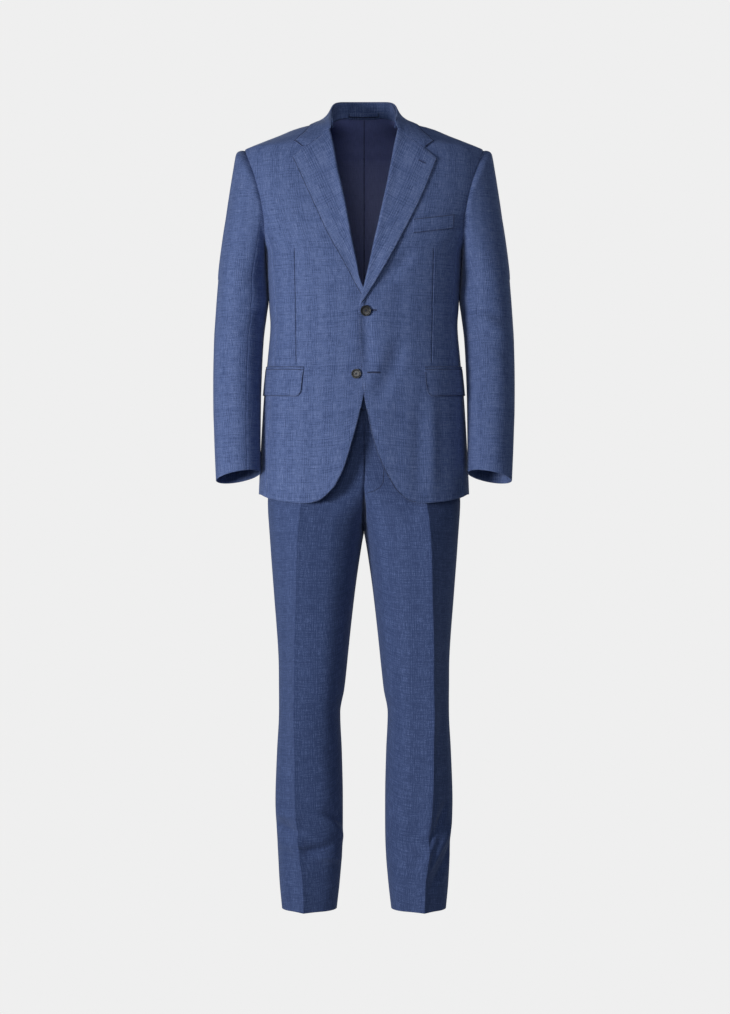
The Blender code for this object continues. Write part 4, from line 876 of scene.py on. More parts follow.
# trousers
trouserCut = {
    "top": -0.491, "bandHeight": 0.040, "fork": -0.763, "hem": -1.4675, "knee": -1.26, "shin": -1.42,
    "foldRadius": 0.062, "crease": 0.0130, "creaseRadius": 0.068,
    # how far down each crease sets in, and how weak the front one is at its top
    "creaseFront": (0.56, 0.72), "creaseBack": (0.66, 0.80), "creaseLeast": 0.45,
    # above the fork the legs close in a narrow fold: depth, half width, how far down it starts and ends
    "forkFold": (0.0110, 0.0019), "forkStart": (0.668, 0.715), "forkEnd": (0.752, 0.764), "legApart": 0.0002,
    # height, centre, half width, depth in front, depth behind, roundness, front and back crease angle
    "rows": (
        (-0.5310, 0.0000, 0.1600, 0.112, 0.116, 2.30, 27.0, 152.0),
        (-0.5800, 0.0100, 0.1600, 0.115, 0.120, 2.30, 26.0, 156.0),
        (-0.6300, 0.0340, 0.1430, 0.117, 0.124, 2.30, 24.0, 162.0),
        (-0.6700, 0.0580, 0.1210, 0.116, 0.125, 2.30, 21.0, 169.0),
        (-0.7045, 0.0775, 0.1042, 0.113, 0.125, 2.30, 18.0, 176.0),
        (-0.7400, 0.0872, 0.0925, 0.108, 0.121, 2.25, 16.5, 183.0),
        (-0.7630, 0.0892, 0.0888, 0.105, 0.118, 2.20, 17.5, 188.0),
        (-0.8120, 0.0916, 0.0830, 0.100, 0.112, 2.15, 19.0, 194.0),
        (-0.8725, 0.0935, 0.0765, 0.094, 0.105, 2.10, 20.5, 199.0),
        (-0.9930, 0.0958, 0.0656, 0.084, 0.087, 2.05, 24.5, 204.0),
        (-1.0540, 0.0987, 0.0619, 0.079, 0.080, 2.05, 23.5, 203.0),
        (-1.0990, 0.1025, 0.0580, 0.076, 0.077, 2.05, 22.5, 202.0),
        (-1.1746, 0.1029, 0.0614, 0.073, 0.079, 2.05, 20.5, 200.0),
        (-1.2650, 0.1034, 0.0638, 0.069, 0.082, 2.05, 18.5, 198.0),
        (-1.3560, 0.1015, 0.0609, 0.063, 0.081, 2.05, 15.0, 195.0),
        (-1.4160, 0.1024, 0.0571, 0.057, 0.077, 2.05, 9.5, 190.0),
        (-1.4675, 0.1029, 0.0519, 0.052, 0.073, 2.05, 8.5, 188.0)),
    "foldsLeft": (
        (19.5, -1.300, 88.5, 0.052, 0.0042, -0.0030, 0.0),
        (27.0, -1.318, 62.0, 0.055, 0.0085, -0.0066, 0.3),
        (38.0, -1.352, 52.0, 0.060, 0.0100, 0.0064, 0.3),
        (16.0, -1.352, 68.0, 0.040, 0.0058, 0.0036, 0.0),
        (23.0, -1.362, 66.0, 0.036, 0.0050, -0.0036, 0.0),
        (52.0, -1.383, 48.0, 0.050, 0.0100, -0.0060, 0.3),
        (-12.0, -1.342, 30.0, 0.030, 0.0110, -0.0044, 0.3),
        (-25.0, -1.330, 40.0, 0.050, 0.0160, -0.0030, 0.0),
        (30.0, -1.150, 70.0, 0.070, 0.0140, -0.0012, 0.0),
        (12.0, -0.700, 60.0, 0.060, 0.0120, -0.0016, 0.0),
        (4.0, -0.640, 90.0, 0.082, 0.0420, -0.0200, 0.0),
        (160.0, -1.345, -20.0, 0.060, 0.0130, 0.0045, 0.3),
        (205.0, -1.375, 12.0, 0.055, 0.0120, -0.0045, 0.3),
        (150.0, -1.060, 14.0, 0.050, 0.0140, -0.0030, 0.3),
        (215.0, -1.020, -12.0, 0.050, 0.0140, -0.0026, 0.3)),
    "foldsRight": (
        (42.0, -1.286, 2.0, 0.030, 0.0110, 0.0038, 0.3),
        (42.0, -1.312, 8.0, 0.036, 0.0090, -0.0060, 0.2),
        (38.0, -1.340, 4.0, 0.034, 0.0120, 0.0046, 0.0),
        (10.0, -1.349, 20.0, 0.016, 0.0055, -0.0040, 0.0),
        (-20.0, -1.349, -8.0, 0.030, 0.0080, -0.0064, 0.2),
        (-44.0, -1.367, 6.0, 0.034, 0.0075, 0.0052, 0.0),
        (-48.0, -1.290, 26.0, 0.026, 0.0100, -0.0044, 0.2),
        (-62.0, -1.318, 40.0, 0.030, 0.0100, 0.0034, 0.0),
        (4.0, -0.640, 90.0, 0.082, 0.0480, -0.0150, 0.0),
        (-24.0, -1.130, 70.0, 0.070, 0.0150, -0.0012, 0.0),
        (155.0, -1.335, 18.0, 0.060, 0.0130, 0.0045, 0.3),
        (200.0, -1.368, -12.0, 0.055, 0.0120, -0.0045, 0.3),
        (152.0, -1.040, 16.0, 0.050, 0.0140, -0.0028, 0.3),
        (212.0, -1.075, -14.0, 0.050, 0.0140, -0.0028, 0.3))}
legSection = smoothTable(trouserCut["rows"])


def legPlain(angle, height):
    angle, height = np.broadcast_arrays(np.asarray(angle, dtype=float), height)
    centre, halfWidth, front, back, roundness = legSection(height)[:5]
    x, y = ringXY(angle, halfWidth, front, back, roundness)
    return np.stack([centre + x, y, height], -1)


def legNormal(angle, height):
    return outward(legPlain, angle, height)


def legPoint(side, angle, height):
    cut = trouserCut
    angle, height = np.broadcast_arrays(np.asarray(angle, dtype=float), height)
    frontCrease, backCrease = legSection(height)[5:]
    # each crease is a knife edge between two flat sides that meet the round of the leg
    radius = cut["creaseRadius"]
    reach = math.degrees(math.acos(radius / (radius + cut["crease"])))

    def pressedEdge(away):
        return radius * (1 / np.cos(np.radians(np.clip(reach - np.abs(away), 0.0, None))) - 1)

    rise = mix(cut["creaseLeast"], 1.0, smoothStep(-height, *cut["creaseFront"]))
    rise = rise * pressedEdge(angle - frontCrease)
    rise = rise + smoothStep(-height, *cut["creaseBack"]) * pressedEdge(angle - backCrease)
    folds = ofSide(side, (cut["foldsLeft"], cut["foldsRight"]))
    rise = rise + foldRise(folds, angle, height, cut["foldRadius"])
    return legPlain(angle, height) + legNormal(angle, height) * rise[..., None]


def forkAngle(height):
    # how far past the front the leg's ring reaches the middle plane
    centre, halfWidth, _, _, roundness = legSection(height)[:5]
    share = np.clip(centre / halfWidth, 0.0, 1.0)
    return np.where(height <= trouserCut["fork"], 90.0, np.degrees(np.arcsin(share ** (roundness / 2))))


def legGrid(side, back):
    cut = trouserCut
    upper = np.linspace(cut["top"] - cut["bandHeight"], cut["fork"], 46)
    thigh = np.linspace(cut["fork"], cut["knee"], 84)[1:]
    shin = np.linspace(cut["knee"], cut["shin"], 62)[1:]
    last = cut["hem"] + np.array((0.040, 0.030, 0.020, 0.012, 0.006, 0.003, 0.0012, 0.0))
    height = np.concatenate([upper, thigh, shin, last])[:, None]
    frontCrease, backCrease = legSection(height)[5:]
    inner, middle = forkAngle(height), np.full(height.shape, 90.0)
    toCrease = np.concatenate([[0.0, 0.012, 0.03, 0.06], np.linspace(0.10, 0.90, 16),
                               [0.93, 0.96, 0.98, 0.992]])
    past = np.concatenate([[0.0, 0.008, 0.02, 0.04, 0.07], np.linspace(0.11, 0.94, 20), [0.97, 0.988, 1.0]])
    if back:
        short = 180 + inner < backCrease + 8
        ends = (middle, np.where(short, mix(90.0, 180 + inner, 0.6), backCrease), 180 + inner)
    else:
        ends = (-inner, frontCrease, middle)
    angle = np.concatenate([mix(ends[0], ends[1], toCrease[None, :]),
                            mix(ends[1], ends[2], past[None, :])], 1)
    points, normals = legPoint(side, angle, height), legNormal(angle, height)
    # down to the fork the seam between the legs stays in the middle plane
    above, seam = height[:, 0] >= cut["fork"] - 1e-9, -1 if back else 0
    points[above, seam, 0] = cut["legApart"]
    normals[above, seam, 0] = 0.0
    normals = unit(normals)
    depth, halfWidth = cut["forkFold"]
    fold = depth * smoothStep(-height, *cut["forkStart"]) * (1 - smoothStep(-height, *cut["forkEnd"]))
    points = points - normals * (fold * np.exp(-(points[..., 0] / halfWidth) ** 2))[..., None]
    return points, normals, len(toCrease)


# sewing threads
sewing = {
    # edge, dot and join rows are dark lines and dots; along the jacket's edges, at the notches and under the
    # loop they are painted shade
    # spacing, length and width of a stitch in millimetres, and how uneven stitches are
    "pick": (3.4, 1.4, 0.55, 0.25), "edge": (1.6, 1.8, 0.90, 0.10), "dart": (1.6, 1.8, 0.60, 0.10),
    "join": (1.6, 1.9, 1.40, 0.05), "cross": (1.0, 4.4, 1.10, 0.0), "dot": (3.4, 1.7, 1.00, 0.30),
    "lock": (2.6, 2.1, 0.45, 0.12), "purl": (0.7, 1.6, 0.65, 0.15),
    "sunk": 0.22,
    # how far in from an edge the stitches lie, in metres
    "pickInset": 0.0046, "edgeInset": 0.0006, "flapInset": 0.0030, "seamInset": 0.0002,
    "standRows": (0.0140, 0.0230), "holeHalfWidth": 0.0009}


def stitchMesh():
    # one unit stitch along X: a six-sided thread with pointed ends
    bm = bmesh.new()
    turn = [k * math.pi / 3 for k in range(6)]
    rings = [[bm.verts.new((x, radius * math.cos(a), radius * math.sin(a))) for a in turn]
             for x, radius in ((-0.32, 0.44), (0.0, 0.5), (0.32, 0.44))]
    ends = [bm.verts.new((-0.5, 0.0, -0.2)), bm.verts.new((0.5, 0.0, -0.2))]
    for k in range(6):
        after = (k + 1) % 6
        bm.faces.new((ends[0], rings[0][after], rings[0][k]))
        bm.faces.new((ends[1], rings[2][k], rings[2][after]))
        for ring, beside in zip(rings, rings[1:]):
            bm.faces.new((ring[k], ring[after], beside[after], beside[k]))
    bmesh.ops.recalc_face_normals(bm, faces=bm.faces)
    mesh = bpy.data.meshes.new("stitch")
    bm.to_mesh(mesh)
    bm.free()
    mesh.shade_smooth()
    return bpy.data.objects.new("stitch", mesh)


def stitchTree():
    # a stitch on each point, laid along the row and facing out of the cloth
    tree, start, end = newGroup("stitchRow", "GeometryNodeTree", {
        "Geometry": "Geometry", "Stitch": "Object", "Thread": "Material", "Length": "Float", "Width": "Float",
        "Uneven": "Float", "Seed": "Int"}, {"Geometry": "Geometry"})
    along, facing = (node(tree, "GeometryNodeInputNamedAttribute", {"Name": key},
                          data_type="FLOAT_VECTOR").outputs[0] for key in ("along", "facing"))
    turned = node(tree, "FunctionNodeAlignRotationToVector", {"Vector": along}, axis="X").outputs[0]
    turned = node(tree, "FunctionNodeAlignRotationToVector", {"Rotation": turned, "Vector": facing},
                  axis="Z", pivot_axis="X").outputs[0]
    varied = node(tree, "FunctionNodeRandomValue", {"Seed": start["Seed"]}, data_type="FLOAT")
    for key, operation in (("Min", "SUBTRACT"), ("Max", "ADD")):
        socket = [found for found in varied.inputs if found.name == key and found.type == "VALUE"][0]
        plug(tree, socket, maths(tree, operation, 1.0, start["Uneven"]))
    chance = [found for found in varied.outputs if found.type == "VALUE" and found.enabled][0]
    size = node(tree, "ShaderNodeCombineXYZ", {0: maths(tree, "MULTIPLY", start["Length"], chance),
                                               1: start["Width"], 2: start["Width"]}).outputs[0]
    thread = node(tree, "GeometryNodeObjectInfo", {"Object": start["Stitch"]}).outputs["Geometry"]
    placed = node(tree, "GeometryNodeInstanceOnPoints", {"Points": start["Geometry"], "Instance": thread,
                                                         "Rotation": turned, "Scale": size}).outputs[0]
    real = node(tree, "GeometryNodeRealizeInstances", {"Geometry": placed}).outputs[0]
    dyed = node(tree, "GeometryNodeSetMaterial", {"Geometry": real, "Material": start["Thread"]}).outputs[0]
    plug(tree, end[0], dyed)
    return tree


stitchShape, stitchRow = stitchMesh(), stitchTree()


def alongLine(line, facing, kind, first=0.0, last=1.0):
    # places one stitch apart on a line, with the line's direction and the cloth's normal there
    length, pitch = lengthsAlong(line, 0), sewing[kind][0] / 1000
    total = length[-1]
    count = max(int((last - first) * total / pitch), 1)
    at = first * total + (np.arange(count) + 0.5) * (last - first) * total / count

    def readAt(values):
        return np.stack([np.interp(at, length, values[:, k]) for k in range(3)], -1)

    return readAt(line), unit(readAt(np.gradient(line, length, axis=0))), unit(readAt(facing))


def sewOn(name, rows, kind, thread=threadNavy, seed=1):
    # rows: places, directions and normals; the stitches lie half sunk in the cloth
    length, width = (size / 1000 for size in sewing[kind][1:3])
    place, along, facing = (np.concatenate(parts) for parts in zip(*rows))
    mesh = bpy.data.meshes.new(name)
    mesh.from_pydata((place + facing * width * sewing["sunk"]).tolist(), [], [])
    for key, values in (("along", along), ("facing", facing)):
        vectors = mesh.attributes.new(key, "FLOAT_VECTOR", "POINT").data
        vectors.foreach_set("vector", values.astype(np.float32).ravel())
    row = linked(name, mesh)
    work = row.modifiers.new("stitches", "NODES")
    work.node_group = stitchRow
    values = {"Stitch": stitchShape, "Thread": thread, "Length": length, "Width": width,
              "Uneven": sewing[kind][3], "Seed": seed}
    for item in stitchRow.interface.items_tree:
        if item.in_out == "INPUT" and item.name in values:
            work[item.identifier] = values[item.name]
    made = bpy.data.meshes.new_from_object(row.evaluated_get(bpy.context.evaluated_depsgraph_get()))
    row.modifiers.clear()
    row.data = made
    bpy.data.meshes.remove(mesh)
    made.name = name
    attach(row, "root")
    print("%s: %d stitches" % (name, len(place)))


def inset(points, normals, border, distance):
    # the line on a grid at one distance from one of its borders
    axis = 1 if border in "LR" else 0
    length = lengthsAlong(points, axis)
    if axis == 0:
        length, points, normals = length.T, points.transpose(1, 0, 2), normals.transpose(1, 0, 2)
    if border in "RE":
        length = (length[:, -1:] - length)[:, ::-1]
        points, normals = points[:, ::-1], normals[:, ::-1]
    line, facing = (np.array([[np.interp(distance, length[i], source[i, :, k]) for k in range(3)]
                              for i in range(len(source))]) for source in (points, normals))
    return line, unit(facing)


# building the jacket
def dartX(height):
    (topX, topZ), (footX, footZ) = dartCut["top"], dartCut["foot"]
    return mix(topX, footX, (height - topZ) / (footZ - topZ))


def dartShare(height, first, last):
    # where the dart stands between a front's inner edge and its outer one
    angle = bodyAngle(dartX(np.clip(height, dartCut["foot"][1], dartCut["top"][1])), height)
    share = np.clip((angle - first) / (last - first), 0.42, 0.75)
    return mix(share, 0.60, smoothStep(height, -0.215, -0.10))


def dartSink(side, angles, heights):
    cut, top, foot = dartCut, dartCut["top"][1], dartCut["foot"][1]
    away = (bodyPlain(angles, heights)[..., 0] - dartX(heights)) * cut["slant"]
    within = (smoothStep(heights, foot - 0.002, foot + 0.004)
              * (1 - smoothStep(heights, top - 0.012, top + 0.004)))
    groove = -cut["depth"] * np.exp(-(away / cut["width"]) ** 2)
    ridge = ofSide(side, cut["ridge"]) * np.exp(-((away - cut["ridgeAway"]) / cut["ridgeWidth"]) ** 2)
    return (groove + ridge) * within


def buildFronts():
    # shares of the way from the inner edge to the dart and on to the side, closer together at the dart
    near = np.array((0.0006, 0.0012, 0.0020, 0.0031, 0.0046)) / 0.12
    toSeam = 1 - np.array((0.0045, 0.0024, 0.0010)) / 0.12
    inner = np.concatenate([np.linspace(0.0, 0.945, 27), 1 - near[::-1], [1.0]])
    outer = np.concatenate([near, np.linspace(0.065, 0.93, 24), toSeam, [1.0]])

    def shares(height, first, last, power):
        dart = dartShare(height, first, last)
        return np.concatenate([dart * inner ** power, dart + (1 - dart) * outer], 1)

    for side, end in sides:
        # from the hem to the armhole
        rows = jacketCut["frontRows"]
        share = np.linspace(0.0, 1.0, rows, endpoint=False)[:, None]
        join = float(armhole(frontJoin)[1])
        level = mix(jacketCut["corner"], join, share)
        corner, first = frontStart(side, jacketCut["corner"]), frontStart(side, level)
        run = shares(level, first, seamFront, mix(1.5, 1.0, share))
        lowAngles = mix(first, seamFront, run)
        lowHeights = mix(hemLevel(mix(corner, seamFront, run))[0], join, share)
        # beside the armhole and along the shoulder
        last, level = armhole(np.linspace(frontJoin, 0.0, 40))
        shoulder = mix(jacketCut["shoulderTip"], jacketCut["neckSide"], spread(13, 0.08, low=False)[1:])
        last = np.concatenate([last, np.full(len(shoulder), 90.0)])[:, None]
        level = np.concatenate([level, shoulder])[:, None]
        first = frontStart(side, level)
        upper = mix(first, last, shares(level, first, last, 1.0))
        angles = np.concatenate([lowAngles, upper])
        heights = np.concatenate([lowHeights, np.broadcast_to(level, upper.shape)])
        bodyPanel("front" + end, side, angles, heights, jacketLook, seams="RE", vFrom=rows,
                  lift=dartSink(side, angles, heights) + overlapLift(side, angles, heights),
                  innerLook=liningSatin,
                  innerFrom=lambda fromEdge, up, toTop: ((fromEdge > jacketCut["facing"])
                                                         & (up > jacketCut["liningFrom"])))


def buildSides():
    for side, end in sides:
        turns = mix(frontJoin, backJoin, spread(24, 0.14))[None, :]
        share = spread(96, 0.48, low=False)[:, None]
        topAngle, top = armhole(turns)
        lowAngle = mix(seamFront, seamBack, (turns - frontJoin) / (backJoin - frontJoin))
        angles = mix(lowAngle, topAngle, smoothStep(share, 0.6, 1.0))
        heights = mix(hemLevel(lowAngle)[0], top, share)
        bodyPanel("side" + end, side, angles, heights, jacketLook, seams="LRE", innerLook=liningSatin,
                  innerFrom=lambda fromEdge, up, toTop: up > jacketCut["liningFrom"])


def backLines(hemRise=0.0, columns=44):
    # from the hem to the armhole, beside the armhole, and up to the neck
    across = spread(columns, 0.21)[None, :]
    low = mix(seamBack, 180.0, across)
    join = float(armhole(backJoin)[1])
    share = np.linspace(0.0, 1.0, jacketCut["backRows"], endpoint=False)[:, None]
    edge, level = armhole(np.linspace(backJoin, 360.0, 40))
    angle = mix(90.0, 180.0, across)
    toNeck = spread(15, 0.085, low=False)[1:, None]
    parts = ((low, mix(hemLevel(low)[0] + hemRise, join, share)),
             (mix(edge[:, None], 180.0, across), level[:, None]),
             (angle, mix(jacketCut["shoulderTip"], neckLevel(angle), toNeck)))
    angles, heights = zip(*[np.broadcast_arrays(*part) for part in parts])
    return np.concatenate(angles), np.concatenate(heights)


def buildBacks():
    rows = jacketCut["backRows"]
    for side, end in sides:
        bodyPanel("back" + end, side, *backLines(), jacketLook, seams="LRE", grainAngle=180.0, vFrom=rows)
        bodyPanel("lining" + end, side, *backLines(jacketCut["liningRise"], 30), satinSheet, seams="R",
                  lift=-jacketCut["liningInside"], grainAngle=180.0, vFrom=rows, slot="lining_satin",
                  restsOn=["back" + end])


def buildSleeves():
    low, high = sleeveCut["underFrom"], sleeveCut["underTo"]
    for part, start, stop, columns in (("underSleeve", low, high, 30), ("topSleeve", high, low + 360, 50)):
        turns = mix(start, stop, spread(columns, 0.0009 * (stop - start)))
        points, normals, armRow = sleeveGrid(turns)
        for side, end in sides:
            clothPanel(part + end, *onSide(side, points, normals), sleeveLook, seams="LR", vFrom=armRow,
                       innerLook=sleeveSatin,
                       innerFrom=lambda fromEdge, down, toEnd: toEnd > sleeveCut["liningShort"])


def buildLapels():
    for side, end in sides:
        clothPanel("lapel" + end, *onSide(side, *lapelGrid(side)), lapelLook, seams="S", held="folded",
                   restsOn=["front" + end], anchor=1.0)


def buildLeaf():
    stations = np.linspace(-1.0, 1.0, 161)[None, :]
    across = np.concatenate([np.linspace(0.0, 0.1, 7)[:-1], np.linspace(0.1, 0.97, 24), [0.988, 1.0]])
    across = across[:, None]
    leaf = leafPoint(stations, across)
    # the fold: over the top and a little way down inside the stand, fading where the lapels' rolls begin
    away = unit(leaf[1:2] - leaf[:1])
    fold = collarFold(stations * 0.999)
    facing = bodyNormal(bodyAngle(fold[..., 0], fold[..., 2]), fold[..., 2])
    down = unit(neckSeam(stations) - fold)
    down = unit(mix(down, -facing, smoothStep(np.abs(stations), 0.72, 0.92)[..., None]))
    side = unit(away - down * (away * down).sum(-1, keepdims=True))
    fade = (1 - smoothStep(np.abs(stations), 0.82, 0.97))[..., None]
    radius = 0.0003 + collarCut["foldRadius"] * fade
    turn = np.radians(np.linspace(200.0, 95.0, 7))[:, None, None]
    over = leaf[:1] + down * radius + radius * (side * np.cos(turn) - down * np.sin(turn))
    tail = over[:1] + down * (0.0001 + fade * np.array((0.0065, 0.0030))[:, None, None])
    points = np.concatenate([tail, over, leaf])
    clothPanel("collarLeaf", points, gridNormals(points, np.array((0.0, 1.0, 0.0))),
               dict(collarLook, seamDepth=0.0013, seamWidth=0.0040), seams="E", held="folded",
               restsOn=["collarStand"])


def buildStand():
    stations = np.linspace(-1.0, 1.0, 121)[None, :] * collarCut["standReach"]
    up = np.linspace(0.0, 1.0, 22)[:, None, None]
    points = mix(neckSeam(stations), collarFold(stations) * collarCut["standTuck"], up)
    clothPanel("collarStand", points, gridNormals(points, np.array((0.0, 1.0, 0.0))), standLook,
               restsOn=["backLeft", "backRight"])


# pockets
pocketCut = {
    # corners as angle round the body and height: top inner, top outer, low inner, low outer
    "flap": ((33.9, -0.4600), (88.0, -0.4545), (34.8, -0.5085), (88.0, -0.5020)),
    "jet": ((33.9, -0.4538), (88.0, -0.4483), (33.9, -0.4592), (88.0, -0.4537)),
    "welt": ((21.5, -0.1838), (47.5, -0.1715), (23.0, -0.2090), (50.3, -0.1965)),
    "flapCorner": 0.012, "flapLift": 0.0023, "jetLift": 0.0017, "weltLift": 0.0022, "jetThickness": 0.0010}


def buildPocket(name, side, kind, columns, rows, look, held, corner=0.0):
    # a patch on the front between four corners, its low inner corner rounded if it has a radius
    topIn, topOut, lowIn, lowOut = pocketCut[kind]
    down = np.concatenate([[0.0], np.linspace(0.03, 0.97, rows), [1.0]])[:, None]
    across = np.concatenate([[0.0, 0.004], np.linspace(0.012, 0.99, columns), [1.0]])[None, :]
    if corner:
        across = across ** 1.4
    angle = mix(mix(topIn[0], topOut[0], across), mix(lowIn[0], lowOut[0], across), down)
    top, low = mix(topIn[1], topOut[1], across), mix(lowIn[1], lowOut[1], across)
    if corner:
        run = np.radians(across * (lowOut[0] - lowIn[0])) * jacketCut["foldRadius"]
        inside = np.clip(corner - run, 0.0, corner)
        low = low + corner - np.sqrt(corner ** 2 - inside ** 2)
    points = bodyPoint(side * angle, mix(top, low, down), pocketCut[kind + "Lift"])
    clothPanel(name, points, gridNormals(points, np.array((0.0, -1.0, 0.0))), look, held=held,
               restsOn=[ofSide(side, ("frontLeft", "frontRight"))])


def buildPockets():
    jetLook = dict(flapLook, thickness=pocketCut["jetThickness"])
    for side, end in sides:
        buildPocket("flap" + end, side, "flap", 44, 12, flapLook, "hung", pocketCut["flapCorner"])
        buildPocket("jet" + end, side, "jet", 44, 3, jetLook, "laid")
    buildPocket("breastWelt", 1, "welt", 30, 8, flapLook, "laid")


# the hanger loop, a strip ahead of the stand
loopCut = {"reach": 0.20, "below": 0.0022, "low": 0.10, "rise": 0.26, "ahead": 0.0042, "bow": 0.0014,
           "thickness": 0.0009}


def buildLoop():
    cut = loopCut
    station = np.linspace(-1.0, 1.0, 41)[None, :]
    up = np.linspace(0.0, 1.0, 7)[:, None, None]
    top = collarFold(station * cut["reach"]) - np.array((0.0, 0.0, cut["below"]))
    points = mix(neckSeam(station * cut["reach"]), top, cut["low"] + cut["rise"] * up)
    points[..., 1] -= cut["ahead"] + cut["bow"] * (1 - station ** 2)
    clothPanel("hangerLoop", points, np.broadcast_to(np.array((0.0, -1.0, 0.0)), points.shape),
               dict(flapLook, thickness=cut["thickness"]), held="stretched", restsOn=["collarStand"])


# buttons
buttonCut = {
    "radius": 0.0100, "height": 0.0036, "rim": 0.0024, "dish": 0.0012, "shank": 0.0030, "hole": 0.00075,
    "holeDepth": 0.0016, "spacing": 0.0018, "segments": 48, "gap": 0.0003, "upper": (0.6, -0.3516),
    "lowerX": 0.0141, "lowerLevel": -0.4682, "lowerSize": 0.9}


def buildButton(name, angle, height, lift, size=1.0):
    cut, radius, thick = buttonCut, buttonCut["radius"], buttonCut["height"]
    rim, face = radius - cut["rim"], thick - cut["dish"]
    profile = ((rim * 0.72, face), (rim * 0.93, face + 0.0002), (rim, thick - 0.0003), (rim + 0.0006, thick),
               (radius - 0.0007, thick - 0.0001), (radius, thick * 0.68), (radius * 0.97, thick * 0.30),
               (radius * 0.72, 0.0), (0.0028, 0.0), (0.0024, -cut["shank"]))
    turn = 2 * np.pi * np.arange(cut["segments"]) / cut["segments"]
    bm = bmesh.new()
    rings = [[bm.verts.new((r * math.cos(a), r * math.sin(a), z)) for a in turn] for r, z in profile]
    for a, b in zip(rings, rings[1:]):
        for k in range(len(turn)):
            j = (k + 1) % len(turn)
            bm.faces.new((a[k], b[k], b[j], a[j]))
    bm.faces.new(list(reversed(rings[-1])))
    # the face, with four thread holes
    outlines = [rings[0]]
    for k in range(4):
        place = math.tau * (k + 0.5) / 4
        middle = Vector((cut["spacing"] * math.cos(place), cut["spacing"] * math.sin(place), face))
        circle = [middle + cut["hole"] * Vector((math.cos(a), math.sin(a), 0)) for a in turn[::4]]
        top = [bm.verts.new(p) for p in circle]
        deep = [bm.verts.new(p - Vector((0, 0, cut["holeDepth"]))) for p in circle]
        for i in range(len(top)):
            j = (i + 1) % len(top)
            bm.faces.new((top[i], top[j], deep[j], deep[i]))
        bm.faces.new(deep)
        outlines.append(top)
    edges = []
    for outline in outlines:
        for pair in zip(outline, outline[1:] + outline[:1]):
            edges.append(bm.edges.get(pair) or bm.edges.new(pair))
    bmesh.ops.triangle_fill(bm, use_beauty=True, edges=edges, normal=(0, 0, 1))
    bmesh.ops.recalc_face_normals(bm, faces=bm.faces)
    # the dished middle of the face takes the paler horn, a painted highlight
    for part in bm.faces:
        middle = part.calc_center_median()
        part.material_index = int(math.hypot(middle.x, middle.y) < rim * 0.74 and middle.z > face - 0.0002)
    seat = Vector(bodyPoint(angle, height, lift + cut["shank"] + cut["gap"]))
    turned = Vector(bodyNormal(angle, height)).to_track_quat("Z", "Y").to_matrix()
    bm.transform(turned.to_4x4())
    bmesh.ops.scale(bm, vec=(size, size, size), verts=bm.verts)
    bmesh.ops.translate(bm, vec=seat, verts=bm.verts)
    mesh = bpy.data.meshes.new(name)
    bm.to_mesh(mesh)
    bm.free()
    for horn in (darkHorn, paleHorn):
        mesh.materials.append(horn)
    mesh.shade_smooth()
    mesh.set_sharp_from_angle(angle=math.radians(38))
    dress(linked(name, mesh))
    # the thread crosses over the four holes
    right, ahead, out = np.array(turned).T
    middle = np.array(seat) + out * face * size
    along = np.stack([right + ahead, right - ahead]) / math.sqrt(2)
    sewOn(name + "Thread", [(np.stack([middle, middle]), along, np.stack([out, out]))], "cross")


def buildButtons():
    cut = buttonCut
    buildButton("buttonUpper", *cut["upper"], jacketCut["overlapLift"])
    angle = -float(bodyAngle(cut["lowerX"], cut["lowerLevel"]))
    buildButton("buttonLower", angle, cut["lowerLevel"], 0.0, cut["lowerSize"])


# building the trousers
def buildLegs():
    for back, part in ((False, "legFront"), (True, "legBack")):
        for side, end in sides:
            points, normals, crease = legGrid(side, back)
            clothPanel(part + end, *onSide(side, points, normals), trouserLook, seams="LR",
                       anchor=crease / (points.shape[1] - 1), vFrom=0)


def buildWaistband():
    cut = trouserCut
    angle = np.linspace(0.0, 180.0, 101)[None, :]
    height = cut["top"] - cut["bandHeight"] * np.linspace(0.0, 1.0, 12)[:, None]
    top = np.full(height.shape, cut["rows"][0][0])
    points = legPlain(angle, top)
    points[..., 2] = height
    normals = unit(legNormal(angle, top - 0.004) * np.array((1.0, 1.0, 0.0)))
    normals = np.broadcast_to(normals, points.shape)
    for side, end in sides:
        clothPanel("waistband" + end, *onSide(side, points, normals), dict(trouserLook, thickness=0.0026),
                   seams="E", restsOn=["legFront" + end, "legBack" + end])


# sewing it
def stitchedLine(piece, border, distance, kind, first=0.0, last=1.0, top=math.inf, foot=-math.inf):
    line, facing = inset(*grids[piece], border, distance)
    inside = (line[:, 2] < top) & (line[:, 2] > foot)
    return alongLine(line[inside], facing[inside], kind, first, last)


def sewRows(name, kind, *lines, thread=threadNavy):
    # lines: piece, border, distance from it, then first and last share of the length, then top and foot
    sewOn(name, [stitchedLine(*line[:3], kind, *line[3:]) for line in lines], kind, thread)


def buttonhole(name, line, facing, thread, purl):
    # a dark slit between two rows of close stitches
    place, along, normal = alongLine(line, facing, "purl")
    across = unit(np.cross(normal, along))
    half = sewing["holeHalfWidth"]
    rows = [(place + across * offset, across, normal) for offset in (-half, half)]
    sewOn(name + "Purl", rows, "purl", purl, seed=5)
    sewOn(name + "Slit", [alongLine(line, facing, "edge")], "edge", thread)


def onFront(x, height):
    x, height = np.asarray(x, dtype=float), np.full(len(x), height)
    angle = bodyAngle(x, height)
    lift = overlapLift(1, angle, height) + 0.0002
    return bodyPoint(angle, height, lift), bodyNormal(angle, height)


def onLeg(x, height):
    centre, halfWidth, _, _, roundness = legSection(height)[:5]
    share = np.clip((x - centre) / halfWidth, -1.0, 1.0)
    angle = np.copysign(np.degrees(np.arcsin(np.abs(share) ** (roundness / 2))), share)
    return legPoint(1, angle, height), legNormal(angle, height)


